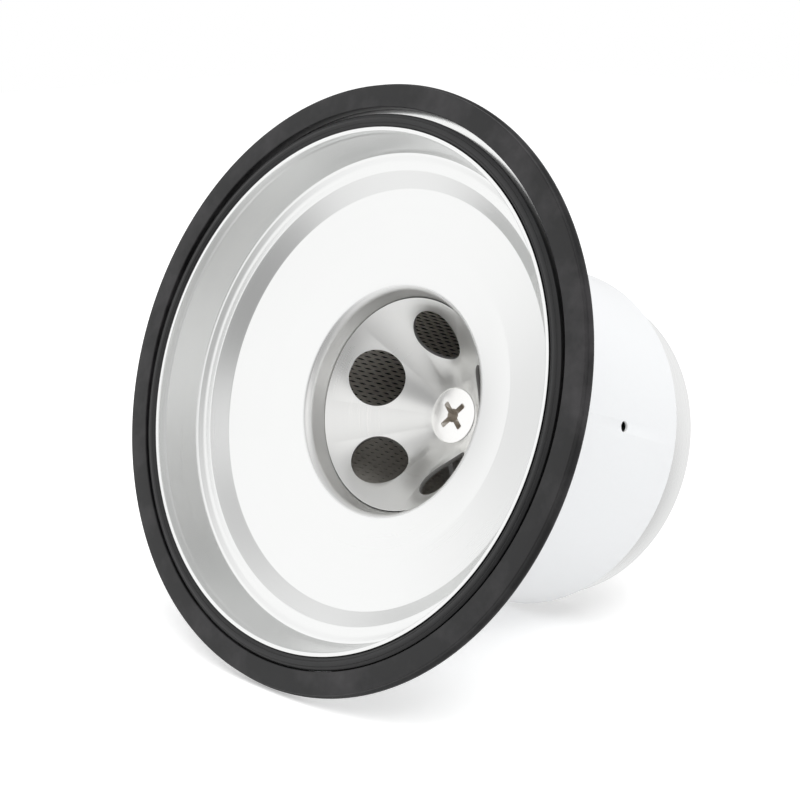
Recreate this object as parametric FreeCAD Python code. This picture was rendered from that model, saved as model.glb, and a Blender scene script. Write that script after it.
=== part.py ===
import FreeCAD, Part
import math
import os

# Fine-dust filter housing for a canister vacuum cleaner, standing on the inlet end of its can
# with the pan opening upwards.  Millimetres, +Z up, origin at the middle of the can's end.
# Depths are measured down from the gasket's face, which is the highest working face.

# ---- overall sizes
overall_height = 99.4          # can's end to the gasket's face
rim_r = 68.0                   # inside the pan's rim
sheet = 1.1                    # spun aluminium
can_wall = 0.8

# ---- fits
seat_gap = 0.25                # between curved faces of pieces that lift apart
running_gap = 0.08             # round shafts in round holes
ring_gap = 0.15                # rubber rings round what they are slipped over
glue_line = 0.05               # between glued or potted pieces

# ---- loose gasket and rim seal
gasket_thickness = 2.8
gasket_width = 6.1
gasket_groove = 0.95           # rim seal to gasket
gasket_flare = 0.55            # how much wider its lower edge is
gasket_shift = 0.78            # it lies off centre, along +X
seal_width = 3.4
seal_proud = 0.35              # the seal's top stands above the gasket's face
seal_shoulder_depth = 0.5      # where the roof of its crown starts
seal_groove = 0.18             # fine grooves moulded round its crown

# ---- pan, inner surface
rim_depth = 0.2
rim_bead = 0.3                 # the rim is this much wider, down to the bead
bead_depth = 2.2
wall_draft = 2.5
wall_foot_depth = 12.0
step_width = 4.3
step_fall = 1.5
foot_width = 0.7               # narrow ledge at the wall's foot
foot_fall = 0.25
foot_slope = 29.0              # degrees, where the shoulder leaves the ledge
shoulder_slope = 9.5           # degrees, where the shoulder meets the step
shoulder_bend = 4.0
slope_width = 4.5
slope_fall = 3.1
floor_fall = 5.2
crease_inset = 14.1            # edge of the floor to a crease, where the floor gets flatter
dish_slope = 9.5               # degrees, inside the crease
collar_draft = 1.14
collar_height = 6.1
ledge_width = 2.4
flange_width = 9.9

# ---- outlet funnel, upper surface, 45 degrees
cone_sheet = 1.0
cone_rim_r = 28.5
vent_count = 5
vent_r = 8.0
vent_margin = 8.0              # vent's middle to the cone's rim, along the radius
vent_first_angle = 2.5

# ---- screw, M8 countersunk, cross recess
screw_head_r = 7.9
screw_shank_r = 4.0
screw_length = 30.0
recess_span = 9.0
recess_wing = 1.9
recess_depth = 4.4
recess_angle = 41.0
neck_gap = 0.4                 # shank to the funnel's neck
neck_length = 1.5
stud_gap = 0.6                 # screw's tip to the stud's top, inside the nut
screw_travel = 12.0
retainer_r = 7.0
retainer_thickness = 1.0
thread_engagement = 10.4

# ---- can and its end band
can_inset = 8.1                # edge of the pan's floor to the can's outside
can_flange_width = 3.4
can_gasket_thickness = 1.9
band_height = 13.5
band_taper = 3.2
band_sheet = 1.0
band_lip = 2.4
band_spigot = 6.0
side_hole_r = 1.5
side_hole_depth = 61.0
side_hole_angle = 279.0

# ---- cartridge
core_clearance = 3.44          # pan's collar to the core
sleeve_clearance = 4.3         # can's inside to the sleeve
mesh_wall = 0.6
cap_sheet = 1.0
cap_lip = 4.0
cap_lip_wall = 0.8
top_seal_thickness = 2.06
pleat_count = 60
pleat_paper = 0.7
pleat_gap = 0.6                # paper to mesh
window_rows = 6
window_columns = 16
window_web = 3.0

# ---- grille, stud and nuts
grille_height = 10.9           # can's end to the grille's top
grille_thickness = 1.2
grille_hole_r = 3.5
grille_margin = 7.6            # grille's edge to the middles of its outer holes
grille_pitch = 9.5             # from one circle of holes to the next
grille_counts = (24, 18, 9)    # holes in each circle, from the outside in
ring_wire_r = 0.8
tie_nut_r = 7.5
nut_gap = 0.4                  # tie nut to the stud's shoulder
nut_chamfer = 0.8
stud_shoulder_r = 9.0
stud_shoulder = 2.0
stud_below_grille = 8.4
hex_across_flats = 13.0
hex_height = 5.6
washer_r = 8.0
washer_thickness = 1.4
buffer_r = 4.0
buffer_height = 5.5
buffer_count = 3
buffer_circle_r = 24.7
grommet_flange = 2.0
grommet_lip = 1.2


def up(depth):
    """Height above the can's end of a depth below the gasket's face."""
    return overall_height - depth


def point(r, z):
    return FreeCAD.Vector(r, 0, z)


def spin(wire):
    """Solid of revolution about Z of a closed outline in the XZ plane."""
    axis = FreeCAD.Vector(0, 0, 1)
    return Part.Face(wire).revolve(FreeCAD.Vector(0, 0, 0), axis, 360)


def ring(r_in, r_out, z_low, z_high):
    height = z_high - z_low
    base = FreeCAD.Vector(0, 0, z_low)
    body = Part.makeCylinder(r_out, height, base)
    if r_in > 0:
        body = body.cut(Part.makeCylinder(r_in, height, base))
    return body


def rounded(outline):
    """Edges through (r, z, radius) corners, each corner a tangent arc of its radius."""
    edges = []
    start = point(outline[0][0], outline[0][1])
    for before, here, after in zip(outline, outline[1:], outline[2:]):
        corner = point(here[0], here[1])
        back = (point(before[0], before[1]) - corner).normalize()
        ahead = (point(after[0], after[1]) - corner).normalize()
        half = back.getAngle(ahead) / 2
        reach = here[2] / math.tan(half)
        middle = (back + ahead).normalize()
        arc_start = corner + back * reach
        arc_end = corner + ahead * reach
        arc_middle = corner + middle * (here[2] / math.sin(half) - here[2])
        edges.append(Part.LineSegment(start, arc_start).toShape())
        edges.append(Part.Arc(arc_start, arc_middle, arc_end).toShape())
        start = arc_end
    edges.append(Part.LineSegment(start, point(outline[-1][0], outline[-1][1])).toShape())
    return edges


def offset_outline(outline, distance):
    """The same outline moved sideways, to the left of its direction, with its bends kept concentric."""
    moved = []
    last = len(outline) - 1
    for index, (r, z, radius) in enumerate(outline):
        ins = outline[max(index - 1, 0)]
        outs = outline[min(index + 1, last)]
        into = (r - ins[0], z - ins[1]) if index > 0 else (outs[0] - r, outs[1] - z)
        out = (outs[0] - r, outs[1] - z) if index < last else into
        into_len = math.hypot(*into)
        out_len = math.hypot(*out)
        side_in = (-into[1] / into_len, into[0] / into_len)
        side_out = (-out[1] / out_len, out[0] / out_len)
        share = 1 + side_in[0] * side_out[0] + side_in[1] * side_out[1]
        turn = into[0] * out[1] - into[1] * out[0]
        bend = radius - distance if turn > 0 else radius + distance
        moved.append((r + distance * (side_in[0] + side_out[0]) / share,
                      z + distance * (side_in[1] + side_out[1]) / share,
                      max(bend, 0.05)))
    return moved


def sheet_metal(outline, thickness):
    """Spun sheet: one face follows the outline, the other is a thickness to its left."""
    other = offset_outline(outline, thickness)
    first = rounded(outline)
    second = rounded(other)
    ends = [
        Part.LineSegment(point(outline[0][0], outline[0][1]), point(other[0][0], other[0][1])),
        Part.LineSegment(point(outline[-1][0], outline[-1][1]), point(other[-1][0], other[-1][1])),
    ]
    edges = first + second + [end.toShape() for end in ends]
    return spin(Part.Wire(Part.__sortEdges__(edges)))


def around(shape, count, first_angle=0.0):
    """Copies of a shape spaced evenly round Z."""
    copies = []
    for number in range(count):
        copy = shape.copy()
        angle = first_angle + 360.0 * number / count
        copy.rotate(FreeCAD.Vector(0, 0, 0), FreeCAD.Vector(0, 0, 1), angle)
        copies.append(copy)
    return copies


# ---- places worked out from the sizes
wall_foot_r = rim_r - wall_draft
step_r = wall_foot_r - step_width
step_depth = wall_foot_depth + step_fall
floor_r = step_r - slope_width
floor_depth = step_depth + slope_fall
collar_r = cone_rim_r + cone_sheet / math.sqrt(2) + seat_gap
opening_r = collar_r + collar_draft
opening_depth = floor_depth + floor_fall
crease_r = floor_r - crease_inset
inner_slope = math.tan(math.radians(dish_slope))
crease_depth = opening_depth - (crease_r - opening_r) * inner_slope
outer_slope = (crease_depth - floor_depth) / crease_inset


def floor_underside(r):
    """Depth of the underside of the pan's floor, two cones that meet at the crease, at a radius."""
    slope = outer_slope if r > crease_r else inner_slope
    on_top = crease_depth - (r - crease_r) * slope
    return on_top + sheet * math.hypot(1, slope)


flange_r = rim_r + rim_bead + sheet + flange_width
seal_inner_r = rim_r + rim_bead + sheet + ring_gap
gasket_inner_r = seal_inner_r + seal_width + gasket_groove
gasket_outer_r = gasket_inner_r + gasket_width
cone_rim_depth = opening_depth + collar_height
vent_circle_r = cone_rim_r - vent_margin
screw_face_depth = cone_rim_depth + cone_rim_r - screw_head_r
cone_bottom_depth = screw_face_depth + screw_head_r - screw_shank_r + neck_length
retainer_depth = cone_bottom_depth + screw_travel + 0.5
can_r = floor_r - can_inset
can_flange_depth = floor_underside(can_r) + can_gasket_thickness
band_start_depth = overall_height - band_height
band_end_r = can_r - band_taper
band_wall = band_sheet * math.hypot(1, band_taper / band_height)
spigot_r = can_r - can_wall - running_gap
spigot_bore_r = spigot_r - can_wall
core_r = collar_r + sheet + core_clearance
sleeve_r = can_r - can_wall - sleeve_clearance
top_cap_depth = floor_underside(core_r - mesh_wall) + top_seal_thickness
grille_depth = overall_height - grille_height
bottom_cap_depth = grille_depth - buffer_height - cap_sheet
tie_nut_depth = screw_face_depth + screw_length - thread_engagement
tie_nut_length = grille_depth - stud_shoulder - nut_gap - tie_nut_depth


def band_inner_r(depth):
    """Inner radius of the end band at a depth, where the grille sits."""
    outer = band_end_r + (overall_height - depth) * band_taper / band_height
    return min(outer - band_wall, spigot_bore_r)


grille_r = band_inner_r(grille_depth + grille_thickness) - running_gap


def pan_outline():
    under_cone = cone_rim_depth + cone_sheet * math.sqrt(2) - (collar_r - cone_rim_r)
    ledge_depth = under_cone + seat_gap * math.sqrt(2)
    steep = math.tan(math.radians(foot_slope))
    shallow = math.tan(math.radians(shoulder_slope))
    foot_end_r = wall_foot_r - foot_width
    foot_end_depth = wall_foot_depth + foot_fall
    shoulder_fall = step_depth - foot_end_depth
    shoulder_width = (shoulder_fall - steep * (foot_end_r - step_r)) / (shallow - steep)
    shoulder_depth = step_depth - shallow * shoulder_width
    return [
        (rim_r + rim_bead, up(rim_depth), 0),
        (rim_r + rim_bead, up(bead_depth), 0.3),
        (rim_r, up(bead_depth + 2 * rim_bead), 0.3),
        (wall_foot_r, up(wall_foot_depth), 0.3),
        (foot_end_r, up(foot_end_depth), 0.3),
        (step_r + shoulder_width, up(shoulder_depth), shoulder_bend),
        (step_r, up(step_depth), 1.2),
        (floor_r, up(floor_depth), 1.2),
        (crease_r, up(crease_depth), 4.0),
        (opening_r, up(opening_depth), 3.4),
        (collar_r, up(ledge_depth), 0.8),
        (collar_r - ledge_width, up(ledge_depth + ledge_width), 0),
    ]


def make_pan():
    dish = sheet_metal(pan_outline(), sheet)
    top = up(gasket_thickness)
    flange = ring(rim_r + rim_bead + sheet / 2, flange_r, top - sheet, top)
    return dish.fuse(flange).removeSplitter()


def make_outer_gasket():
    inner = gasket_inner_r
    top = up(0)
    low = up(gasket_thickness)
    outline = [
        point(inner, low),
        point(gasket_outer_r + gasket_flare, low),
        point(gasket_outer_r + gasket_flare, low + gasket_thickness * 0.3),
        point(gasket_outer_r, low + gasket_thickness * 0.45),
        point(gasket_outer_r, top - 0.3),
        point(gasket_outer_r - 0.3, top),
        point(inner + 0.3, top),
        point(inner, top - 0.3),
        point(inner, low),
    ]
    gasket = spin(Part.makePolygon(outline))
    gasket.translate(FreeCAD.Vector(gasket_shift, 0, 0))
    return gasket


def make_rim_seal():
    """A band with a low roof of a crown, and two fine grooves round the roof."""
    low = up(gasket_thickness)
    shoulder = up(seal_shoulder_depth)
    crown = up(-seal_proud)
    outer = seal_inner_r + seal_width
    middle = seal_inner_r + seal_width / 2
    edges = [
        Part.LineSegment(point(seal_inner_r, low), point(seal_inner_r, shoulder)).toShape(),
        Part.Arc(point(seal_inner_r, shoulder), point(middle, crown), point(outer, shoulder)).toShape(),
        Part.LineSegment(point(outer, shoulder), point(outer, low)).toShape(),
        Part.LineSegment(point(outer, low), point(seal_inner_r, low)).toShape(),
    ]
    seal = spin(Part.Wire(Part.__sortEdges__(edges)))
    for share in (0.28, 0.72):
        groove = Part.makeTorus(seal_inner_r + share * seal_width, seal_groove)
        groove.translate(FreeCAD.Vector(0, 0, crown - seal_groove))
        seal = seal.cut(groove)
    return seal


def make_outlet_cone():
    neck_r = screw_shank_r + neck_gap
    outline = [
        (cone_rim_r, up(cone_rim_depth), 0),
        (neck_r, up(cone_rim_depth + cone_rim_r - neck_r), 0.2),
        (neck_r, up(cone_bottom_depth), 0),
    ]
    cone = sheet_metal(outline, cone_sheet)
    down = FreeCAD.Vector(1, 0, -1)
    depth_there = cone_rim_depth + cone_rim_r - vent_circle_r
    start = point(vent_circle_r, up(depth_there)) - down * vent_r * 0.5
    punch = Part.makeCylinder(vent_r, vent_r * 1.5, start, down)
    for hole in around(punch, vent_count, vent_first_angle):
        cone = cone.cut(hole)
    return cone


def make_cross_recess():
    """Four tapering wings and a pointed core, cut down from the screw's face."""
    face = up(screw_face_depth)
    core = Part.makeCone(0.4, recess_span * 0.3, recess_depth, point(0, face - recess_depth))
    tool = core
    for angle in (0, 90):
        top = [(-recess_span / 2, -recess_wing / 2), (recess_span / 2, -recess_wing / 2),
               (recess_span / 2, recess_wing / 2), (-recess_span / 2, recess_wing / 2)]
        lines = []
        for share, level in ((1.0, face + 0.01), (0.35, face - recess_depth * 0.8)):
            corners = [FreeCAD.Vector(x * share, y * (0.4 + 0.6 * share), level) for x, y in top]
            lines.append(Part.makePolygon(corners + corners[:1]))
        wing = Part.makeLoft(lines, True)
        wing.rotate(FreeCAD.Vector(0, 0, 0), FreeCAD.Vector(0, 0, 1), angle)
        tool = tool.fuse(wing)
    tool.rotate(FreeCAD.Vector(0, 0, 0), FreeCAD.Vector(0, 0, 1), recess_angle)
    return tool


def make_cone_screw():
    face = up(screw_face_depth)
    seat = screw_head_r - screw_shank_r
    outline = [
        point(0, face),
        point(screw_head_r - seat_gap, face),
        point(screw_shank_r - seat_gap / 2, face - seat),
        point(screw_shank_r - running_gap, face - seat - 1.0),
        point(screw_shank_r - running_gap, face - screw_length + 1.0),
        point(screw_shank_r - 1.0, face - screw_length),
        point(0, face - screw_length),
        point(0, face),
    ]
    return spin(Part.makePolygon(outline)).cut(make_cross_recess())


def make_screw_retainer():
    top = up(retainer_depth)
    return ring(screw_shank_r, retainer_r, top - retainer_thickness, top)


def make_can():
    inner = can_r - can_wall
    outline = [
        (inner, up(band_start_depth), 0),
        (inner, up(can_flange_depth), 1.0),
        (can_r + can_flange_width, up(can_flange_depth), 0),
    ]
    shell = sheet_metal(outline, -can_wall)
    drill = Part.makeCylinder(side_hole_r, 3 * can_wall, point(inner - can_wall, up(side_hole_depth)),
                              FreeCAD.Vector(1, 0, 0))
    return shell.cut(around(drill, 1, side_hole_angle)[0])


def make_end_band():
    taper_top = overall_height - (spigot_bore_r + band_wall - band_end_r) * band_height / band_taper
    outline = [
        point(spigot_r, up(band_start_depth - band_spigot)),
        point(spigot_r, up(band_start_depth)),
        point(can_r, up(band_start_depth)),
        point(band_end_r, 0),
        point(band_end_r - band_lip, 0),
        point(band_end_r - band_lip, band_sheet),
        point(band_inner_r(overall_height - band_sheet), band_sheet),
        point(spigot_bore_r, up(taper_top)),
        point(spigot_bore_r, up(band_start_depth - band_spigot)),
        point(spigot_r, up(band_start_depth - band_spigot)),
    ]
    return spin(Part.makePolygon(outline))


def make_can_gasket():
    inner = can_r - can_wall - 1.0
    outer = can_r + can_flange_width
    outline = [
        point(inner, up(floor_underside(inner) + glue_line)),
        point(outer, up(floor_underside(outer) + glue_line)),
        point(outer, up(can_flange_depth)),
        point(inner, up(can_flange_depth)),
        point(inner, up(floor_underside(inner) + glue_line)),
    ]
    return spin(Part.makePolygon(outline))


def make_top_seal():
    inner = core_r - mesh_wall
    outline = [
        point(inner, up(floor_underside(inner) + seat_gap)),
        point(sleeve_r, up(floor_underside(sleeve_r) + seat_gap)),
        point(sleeve_r, up(top_cap_depth)),
        point(inner, up(top_cap_depth)),
        point(inner, up(floor_underside(inner) + seat_gap)),
    ]
    return spin(Part.makePolygon(outline))


def make_top_cap():
    high = up(top_cap_depth)
    plate = high - cap_sheet
    outer_lip = sleeve_r + glue_line
    inner_lip = core_r - mesh_wall - glue_line
    cap = ring(inner_lip - cap_lip_wall, outer_lip + cap_lip_wall, plate, high)
    cap = cap.fuse(ring(outer_lip, outer_lip + cap_lip_wall, plate - cap_lip, plate))
    return cap.fuse(ring(inner_lip - cap_lip_wall, inner_lip, plate - cap_lip, plate)).removeSplitter()


def make_bottom_cap():
    floor = up(bottom_cap_depth)
    hole = tie_nut_r + running_gap + grommet_flange
    outer_lip = sleeve_r + glue_line
    cap = ring(hole, outer_lip + cap_lip_wall, floor - cap_sheet, floor)
    return cap.fuse(ring(outer_lip, outer_lip + cap_lip_wall, floor, floor + cap_lip)).removeSplitter()


def make_stud_grommet():
    floor = up(bottom_cap_depth)
    bore = tie_nut_r + running_gap
    hole = bore + grommet_flange
    low = floor - cap_sheet - grommet_lip
    high = floor + grommet_lip
    body = ring(bore, hole, low, high)
    lips = ring(hole - 0.5, hole + grommet_lip, floor, high)
    lips = lips.fuse(ring(hole - 0.5, hole + grommet_lip, low, floor - cap_sheet))
    return body.fuse(lips).removeSplitter()


def make_mesh_tube(r_out):
    """Thin tube with staggered windows, the shape that holds the expanded metal."""
    low = up(bottom_cap_depth)
    high = up(top_cap_depth) - cap_sheet
    tube = ring(r_out - mesh_wall, r_out, low, high)
    clear_low = low + cap_lip + window_web
    pitch = (high - cap_lip - clear_low) / window_rows
    width = 2 * math.pi * r_out / window_columns - window_web
    for row in range(window_rows):
        base = FreeCAD.Vector(r_out - 2 * mesh_wall, -width / 2, clear_low + row * pitch)
        window = Part.makeBox(4 * mesh_wall, width, pitch - window_web, base)
        stagger = 180.0 / window_columns * (row % 2)
        tube = tube.cut(around(window, window_columns, stagger))
    return tube


def make_pleated_media():
    low = up(bottom_cap_depth)
    high = up(top_cap_depth) - cap_sheet
    inner = core_r + pleat_gap
    outer = sleeve_r - mesh_wall - pleat_gap
    half_step = math.pi / pleat_count
    corners = []
    for number in range(2 * pleat_count):
        r = outer if number % 2 else inner + pleat_paper
        angle = number * half_step
        corners.append(FreeCAD.Vector(r * math.cos(angle), r * math.sin(angle), low))
    hollow = []
    for number in range(2 * pleat_count):
        r = outer - pleat_paper if number % 2 else inner
        turn = number * half_step
        hollow.append(FreeCAD.Vector(r * math.cos(turn), r * math.sin(turn), low))
    face = Part.Face(Part.makePolygon(corners + corners[:1]))
    face = face.cut(Part.Face(Part.makePolygon(hollow + hollow[:1])))
    return face.extrude(FreeCAD.Vector(0, 0, high - low))


def make_inlet_grille():
    top = up(grille_depth)
    disc = ring(screw_shank_r + running_gap, grille_r, top - grille_thickness, top)
    for number, count in enumerate(grille_counts):
        circle_r = grille_r - grille_margin - number * grille_pitch
        drill = Part.makeCylinder(grille_hole_r, grille_thickness, point(circle_r, top - grille_thickness))
        disc = disc.cut(around(drill, count))
    return disc


def make_grille_ring():
    wire = Part.makeTorus(spigot_bore_r - running_gap - ring_wire_r, ring_wire_r)
    wire.translate(FreeCAD.Vector(0, 0, up(grille_depth) + ring_wire_r))
    opening = Part.makeBox(4 * ring_wire_r, 6 * ring_wire_r, 4 * ring_wire_r)
    corner = FreeCAD.Vector(spigot_bore_r - 3 * ring_wire_r, -3 * ring_wire_r, up(grille_depth) - ring_wire_r)
    opening.translate(corner)
    return wire.cut(opening)


def make_tie_stud():
    top = up(screw_face_depth + screw_length + stud_gap)
    plate = up(grille_depth)
    bottom = plate - grille_thickness - stud_below_grille
    stud = ring(0, screw_shank_r, bottom, top)
    return stud.fuse(ring(0, stud_shoulder_r, plate, plate + stud_shoulder)).removeSplitter()


def make_tie_nut():
    top = up(tie_nut_depth)
    nut = ring(screw_shank_r, tie_nut_r, top - tie_nut_length, top)
    mouth_low = point(0, top - nut_chamfer)
    mouth = Part.makeCone(screw_shank_r, screw_shank_r + nut_chamfer, nut_chamfer, mouth_low)
    return nut.cut(mouth)


def make_stud_washer():
    top = up(grille_depth) - grille_thickness
    return ring(screw_shank_r + running_gap, washer_r, top - washer_thickness, top)


def make_stud_nut():
    top = up(grille_depth) - grille_thickness - washer_thickness
    corner_r = hex_across_flats / math.sqrt(3)
    corners = [FreeCAD.Vector(corner_r * math.cos(math.pi * n / 3), corner_r * math.sin(math.pi * n / 3),
                              top - hex_height) for n in range(6)]
    prism = Part.Face(Part.makePolygon(corners + corners[:1])).extrude(FreeCAD.Vector(0, 0, hex_height))
    return prism.cut(Part.makeCylinder(screw_shank_r, hex_height, point(0, top - hex_height)))


def make_rubber_buffers():
    low = up(grille_depth)
    high = up(bottom_cap_depth) - cap_sheet
    buffer = Part.makeCylinder(buffer_r, high - low, point(buffer_circle_r, low))
    return Part.makeCompound(around(buffer, buffer_count, 10.0))


NODES = {
    "outer_gasket": make_outer_gasket,
    "rim_seal": make_rim_seal,
    "pan": make_pan,
    "outlet_cone": make_outlet_cone,
    "cone_screw": make_cone_screw,
    "screw_retainer": make_screw_retainer,
    "can": make_can,
    "end_band": make_end_band,
    "can_gasket": make_can_gasket,
    "top_seal": make_top_seal,
    "top_cap": make_top_cap,
    "core_mesh": lambda: make_mesh_tube(core_r),
    "pleated_media": make_pleated_media,
    "sleeve_mesh": lambda: make_mesh_tube(sleeve_r),
    "bottom_cap": make_bottom_cap,
    "stud_grommet": make_stud_grommet,
    "inlet_grille": make_inlet_grille,
    "grille_ring": make_grille_ring,
    "tie_stud": make_tie_stud,
    "tie_nut": make_tie_nut,
    "stud_washer": make_stud_washer,
    "stud_nut": make_stud_nut,
    "rubber_buffers": make_rubber_buffers,
}

os.makedirs("parts", exist_ok=True)
for node, make in NODES.items():
    shape = make()
    shape.exportStep("parts/" + node + ".step")
    box = shape.BoundBox
    print(f"{node:16s} solids {len(shape.Solids):3d} valid {shape.isValid()} volume {shape.Volume:10.1f} "
          f"z {box.ZMin:7.2f} to {box.ZMax:7.2f}, r {box.XMax:6.2f}")
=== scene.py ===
# %% [markdown]
# # A spun-metal filter housing
#
# The object is a filter housing from a canister vacuum cleaner.  A shallow spun pan carries a
# loose rubber gasket, a perforated funnel sits in the middle of the pan, and a white can with a
# bare tapered end hangs behind it round a pleated cartridge.  Nearly every piece is turned round
# one axis, so most of the meshes here are made by one small lathe built of geometry nodes.
#
# Each cell makes one piece or one finish, and says first what it is on the real thing.

# %% Load the fixed frame
import math

import bmesh
import bpy
from mathutils import Matrix, Vector


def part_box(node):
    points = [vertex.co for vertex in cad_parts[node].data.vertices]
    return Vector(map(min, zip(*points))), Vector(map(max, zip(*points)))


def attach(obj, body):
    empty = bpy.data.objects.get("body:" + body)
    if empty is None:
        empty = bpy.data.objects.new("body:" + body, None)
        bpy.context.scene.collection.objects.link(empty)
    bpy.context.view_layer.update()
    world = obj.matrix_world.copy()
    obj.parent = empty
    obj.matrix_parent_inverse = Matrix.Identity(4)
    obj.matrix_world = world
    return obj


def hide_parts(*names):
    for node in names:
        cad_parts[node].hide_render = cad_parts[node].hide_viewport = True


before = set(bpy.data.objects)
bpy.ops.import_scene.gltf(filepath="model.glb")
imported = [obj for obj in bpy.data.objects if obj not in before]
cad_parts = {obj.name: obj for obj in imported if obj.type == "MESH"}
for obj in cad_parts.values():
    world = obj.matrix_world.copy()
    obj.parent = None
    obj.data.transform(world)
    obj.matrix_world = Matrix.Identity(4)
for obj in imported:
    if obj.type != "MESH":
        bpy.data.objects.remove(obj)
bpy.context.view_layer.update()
MM = 0.001
scene = bpy.context.scene

# %% [markdown]
# ## Sizes read from the frame
#
# The engineering model already fixes where everything is.  The gasket's face, its radius and its
# shift off the axis come from that model's boxes, and depths are then measured down from the
# gasket's face, because every seat on this product is turned from that end.

# %% Driving sizes, in metres
gasket_low, gasket_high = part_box("outer_gasket")
FACE = gasket_high.z
GASKET_SHIFT = (gasket_low.x + gasket_high.x) / 2
GASKET_R = (gasket_high.y - gasket_low.y) / 2
SHEET = 1.1 * MM
STEPS = 256
SEW = 1e-6          # points nearer than this are one point


def up(depth_mm):
    """Height of a depth in millimetres below the gasket's face."""
    return FACE - depth_mm * MM


print(f"gasket face at {FACE / MM:.1f} mm, radius {GASKET_R / MM:.2f}, shift {GASKET_SHIFT / MM:.2f}")

# %% [markdown]
# ## The camera
#
# The housing is tipped on its side, resting on the gasket's edge and on the end of the can, and
# is looked at from in front and above.  In the model's frame the axis is upright, so the camera
# is the thing that lies on its side: it looks down the axis at an angle, and is rolled by about a
# quarter turn.  Its place is given in gasket radii from the middle of the gasket's face.

# %% Camera
RADIUS = 80 * MM
LOOK_DOWN = math.radians(47.23)
ROLL = math.radians(-76.59)
DISTANCE, ASIDE, BELOW = 6.0, -0.2159, -0.0415
LENS_MM = 83.27

forward = Vector((0, math.cos(LOOK_DOWN), -math.sin(LOOK_DOWN)))
level_right = Vector((1, 0, 0))
level_up = level_right.cross(forward)
right = level_right * math.cos(ROLL) + level_up * math.sin(ROLL)
upward = right.cross(forward)
ring_centre = Vector((0, 0, FACE))
camera_place = ring_centre - RADIUS * (forward * DISTANCE + right * ASIDE - upward * BELOW)

camera_data = bpy.data.cameras.new("camera")
camera_data.lens = LENS_MM
camera_data.sensor_width = 36
camera = bpy.data.objects.new("camera", camera_data)
scene.collection.objects.link(camera)
camera.matrix_world = Matrix.Translation(camera_place) @ Matrix((
    (right.x, upward.x, -forward.x, 0),
    (right.y, upward.y, -forward.y, 0),
    (right.z, upward.z, -forward.z, 0),
    (0, 0, 0, 1),
))
scene.camera = camera
print(f"camera {DISTANCE * RADIUS:.2f} m from the gasket's face, {LENS_MM} mm lens")

# %% [markdown]
# ## Building node trees
#
# Geometry nodes and materials are both graphs.  A few small helpers keep their code short: one
# adds a node and fills in or links its inputs, one does arithmetic, and others start, end and run
# a geometry tree.  Most trees here turn a flat grid into a round thing, so two more give a grid
# point its row and column, and put it at a radius, an angle and a height.

# %% Node helpers


def add(tree, kind, inputs=None, **settings):
    """A new node: settings are its properties, inputs its socket values or the sockets that feed it."""
    node = tree.nodes.new(kind)
    for name, value in settings.items():
        setattr(node, name, value)
    for name, value in (inputs or {}).items():
        if isinstance(value, bpy.types.NodeSocket):
            tree.links.new(value, node.inputs[name])
        else:
            node.inputs[name].default_value = value
    return node


def maths(tree, operation, *values):
    """A Math node on up to three numbers or sockets; returns its result."""
    return add(tree, "ShaderNodeMath", dict(enumerate(values)), operation=operation).outputs[0]


def new_tree(name, **inputs):
    """A geometry tree with a mesh in and out, and one named input for each size it takes."""
    tree = bpy.data.node_groups.new(name, "GeometryNodeTree")
    tree.interface.new_socket("Geometry", in_out="INPUT", socket_type="NodeSocketGeometry")
    for label, kind in inputs.items():
        tree.interface.new_socket(label, in_out="INPUT", socket_type="NodeSocket" + kind)
    tree.interface.new_socket("Geometry", in_out="OUTPUT", socket_type="NodeSocketGeometry")
    start = tree.nodes.new("NodeGroupInput")
    end = tree.nodes.new("NodeGroupOutput")
    return tree, start.outputs, end.inputs[0]


def end_tree(tree, geometry, material, end):
    """Every tree ends the same way: real geometry, with its material on it."""
    real = add(tree, "GeometryNodeRealizeInstances", {0: geometry})
    painted = add(tree, "GeometryNodeSetMaterial", {"Geometry": real.outputs[0], "Material": material})
    tree.links.new(painted.outputs[0], end)


def grid_place(tree, columns):
    """The row and the column of each point of a grid, worked out from the point's number."""
    number = add(tree, "GeometryNodeInputIndex").outputs[0]
    row = maths(tree, "FLOOR", maths(tree, "DIVIDE", maths(tree, "ADD", number, 0.5), columns))
    return row, maths(tree, "FLOORED_MODULO", number, columns)


def wrap(tree, mesh, radius, angle, height):
    """Puts every point of a mesh at a radius, an angle and a height round the Z axis."""
    arm = add(tree, "ShaderNodeCombineXYZ", {"X": radius, "Z": height}).outputs[0]
    place = add(tree, "ShaderNodeVectorRotate", {"Vector": arm, "Angle": angle}, rotation_type="Z_AXIS")
    return add(tree, "GeometryNodeSetPosition", {"Geometry": mesh, "Position": place.outputs[0]}).outputs[0]


def sew(tree, geometry, distance=SEW):
    """Merges points that lie on each other, which closes a seam."""
    return add(tree, "GeometryNodeMergeByDistance", {"Geometry": geometry, "Distance": distance}).outputs[0]


def run_tree(piece, tree, **values):
    """Runs a tree on a piece and leaves a plain mesh behind."""
    modifier = piece.modifiers.new(tree.name, "NODES")
    modifier.node_group = tree
    for item in tree.interface.items_tree:
        if item.in_out == "INPUT" and item.name in values:
            modifier[item.identifier] = values[item.name]
    graph = bpy.context.evaluated_depsgraph_get()
    made = bpy.data.meshes.new_from_object(piece.evaluated_get(graph))
    piece.modifiers.clear()
    piece.data = made
    return piece


def outward(mesh, sharp_degrees=32):
    """Points the faces of closed shells outwards, and keeps only real corners sharp."""
    shell = bmesh.new()
    shell.from_mesh(mesh)
    bmesh.ops.remove_doubles(shell, verts=shell.verts, dist=SEW)
    bmesh.ops.recalc_face_normals(shell, faces=shell.faces)
    shell.to_mesh(mesh)
    shell.free()
    mesh.polygons.foreach_set("use_smooth", [True] * len(mesh.polygons))
    mesh.set_sharp_from_angle(angle=math.radians(sharp_degrees))


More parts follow.
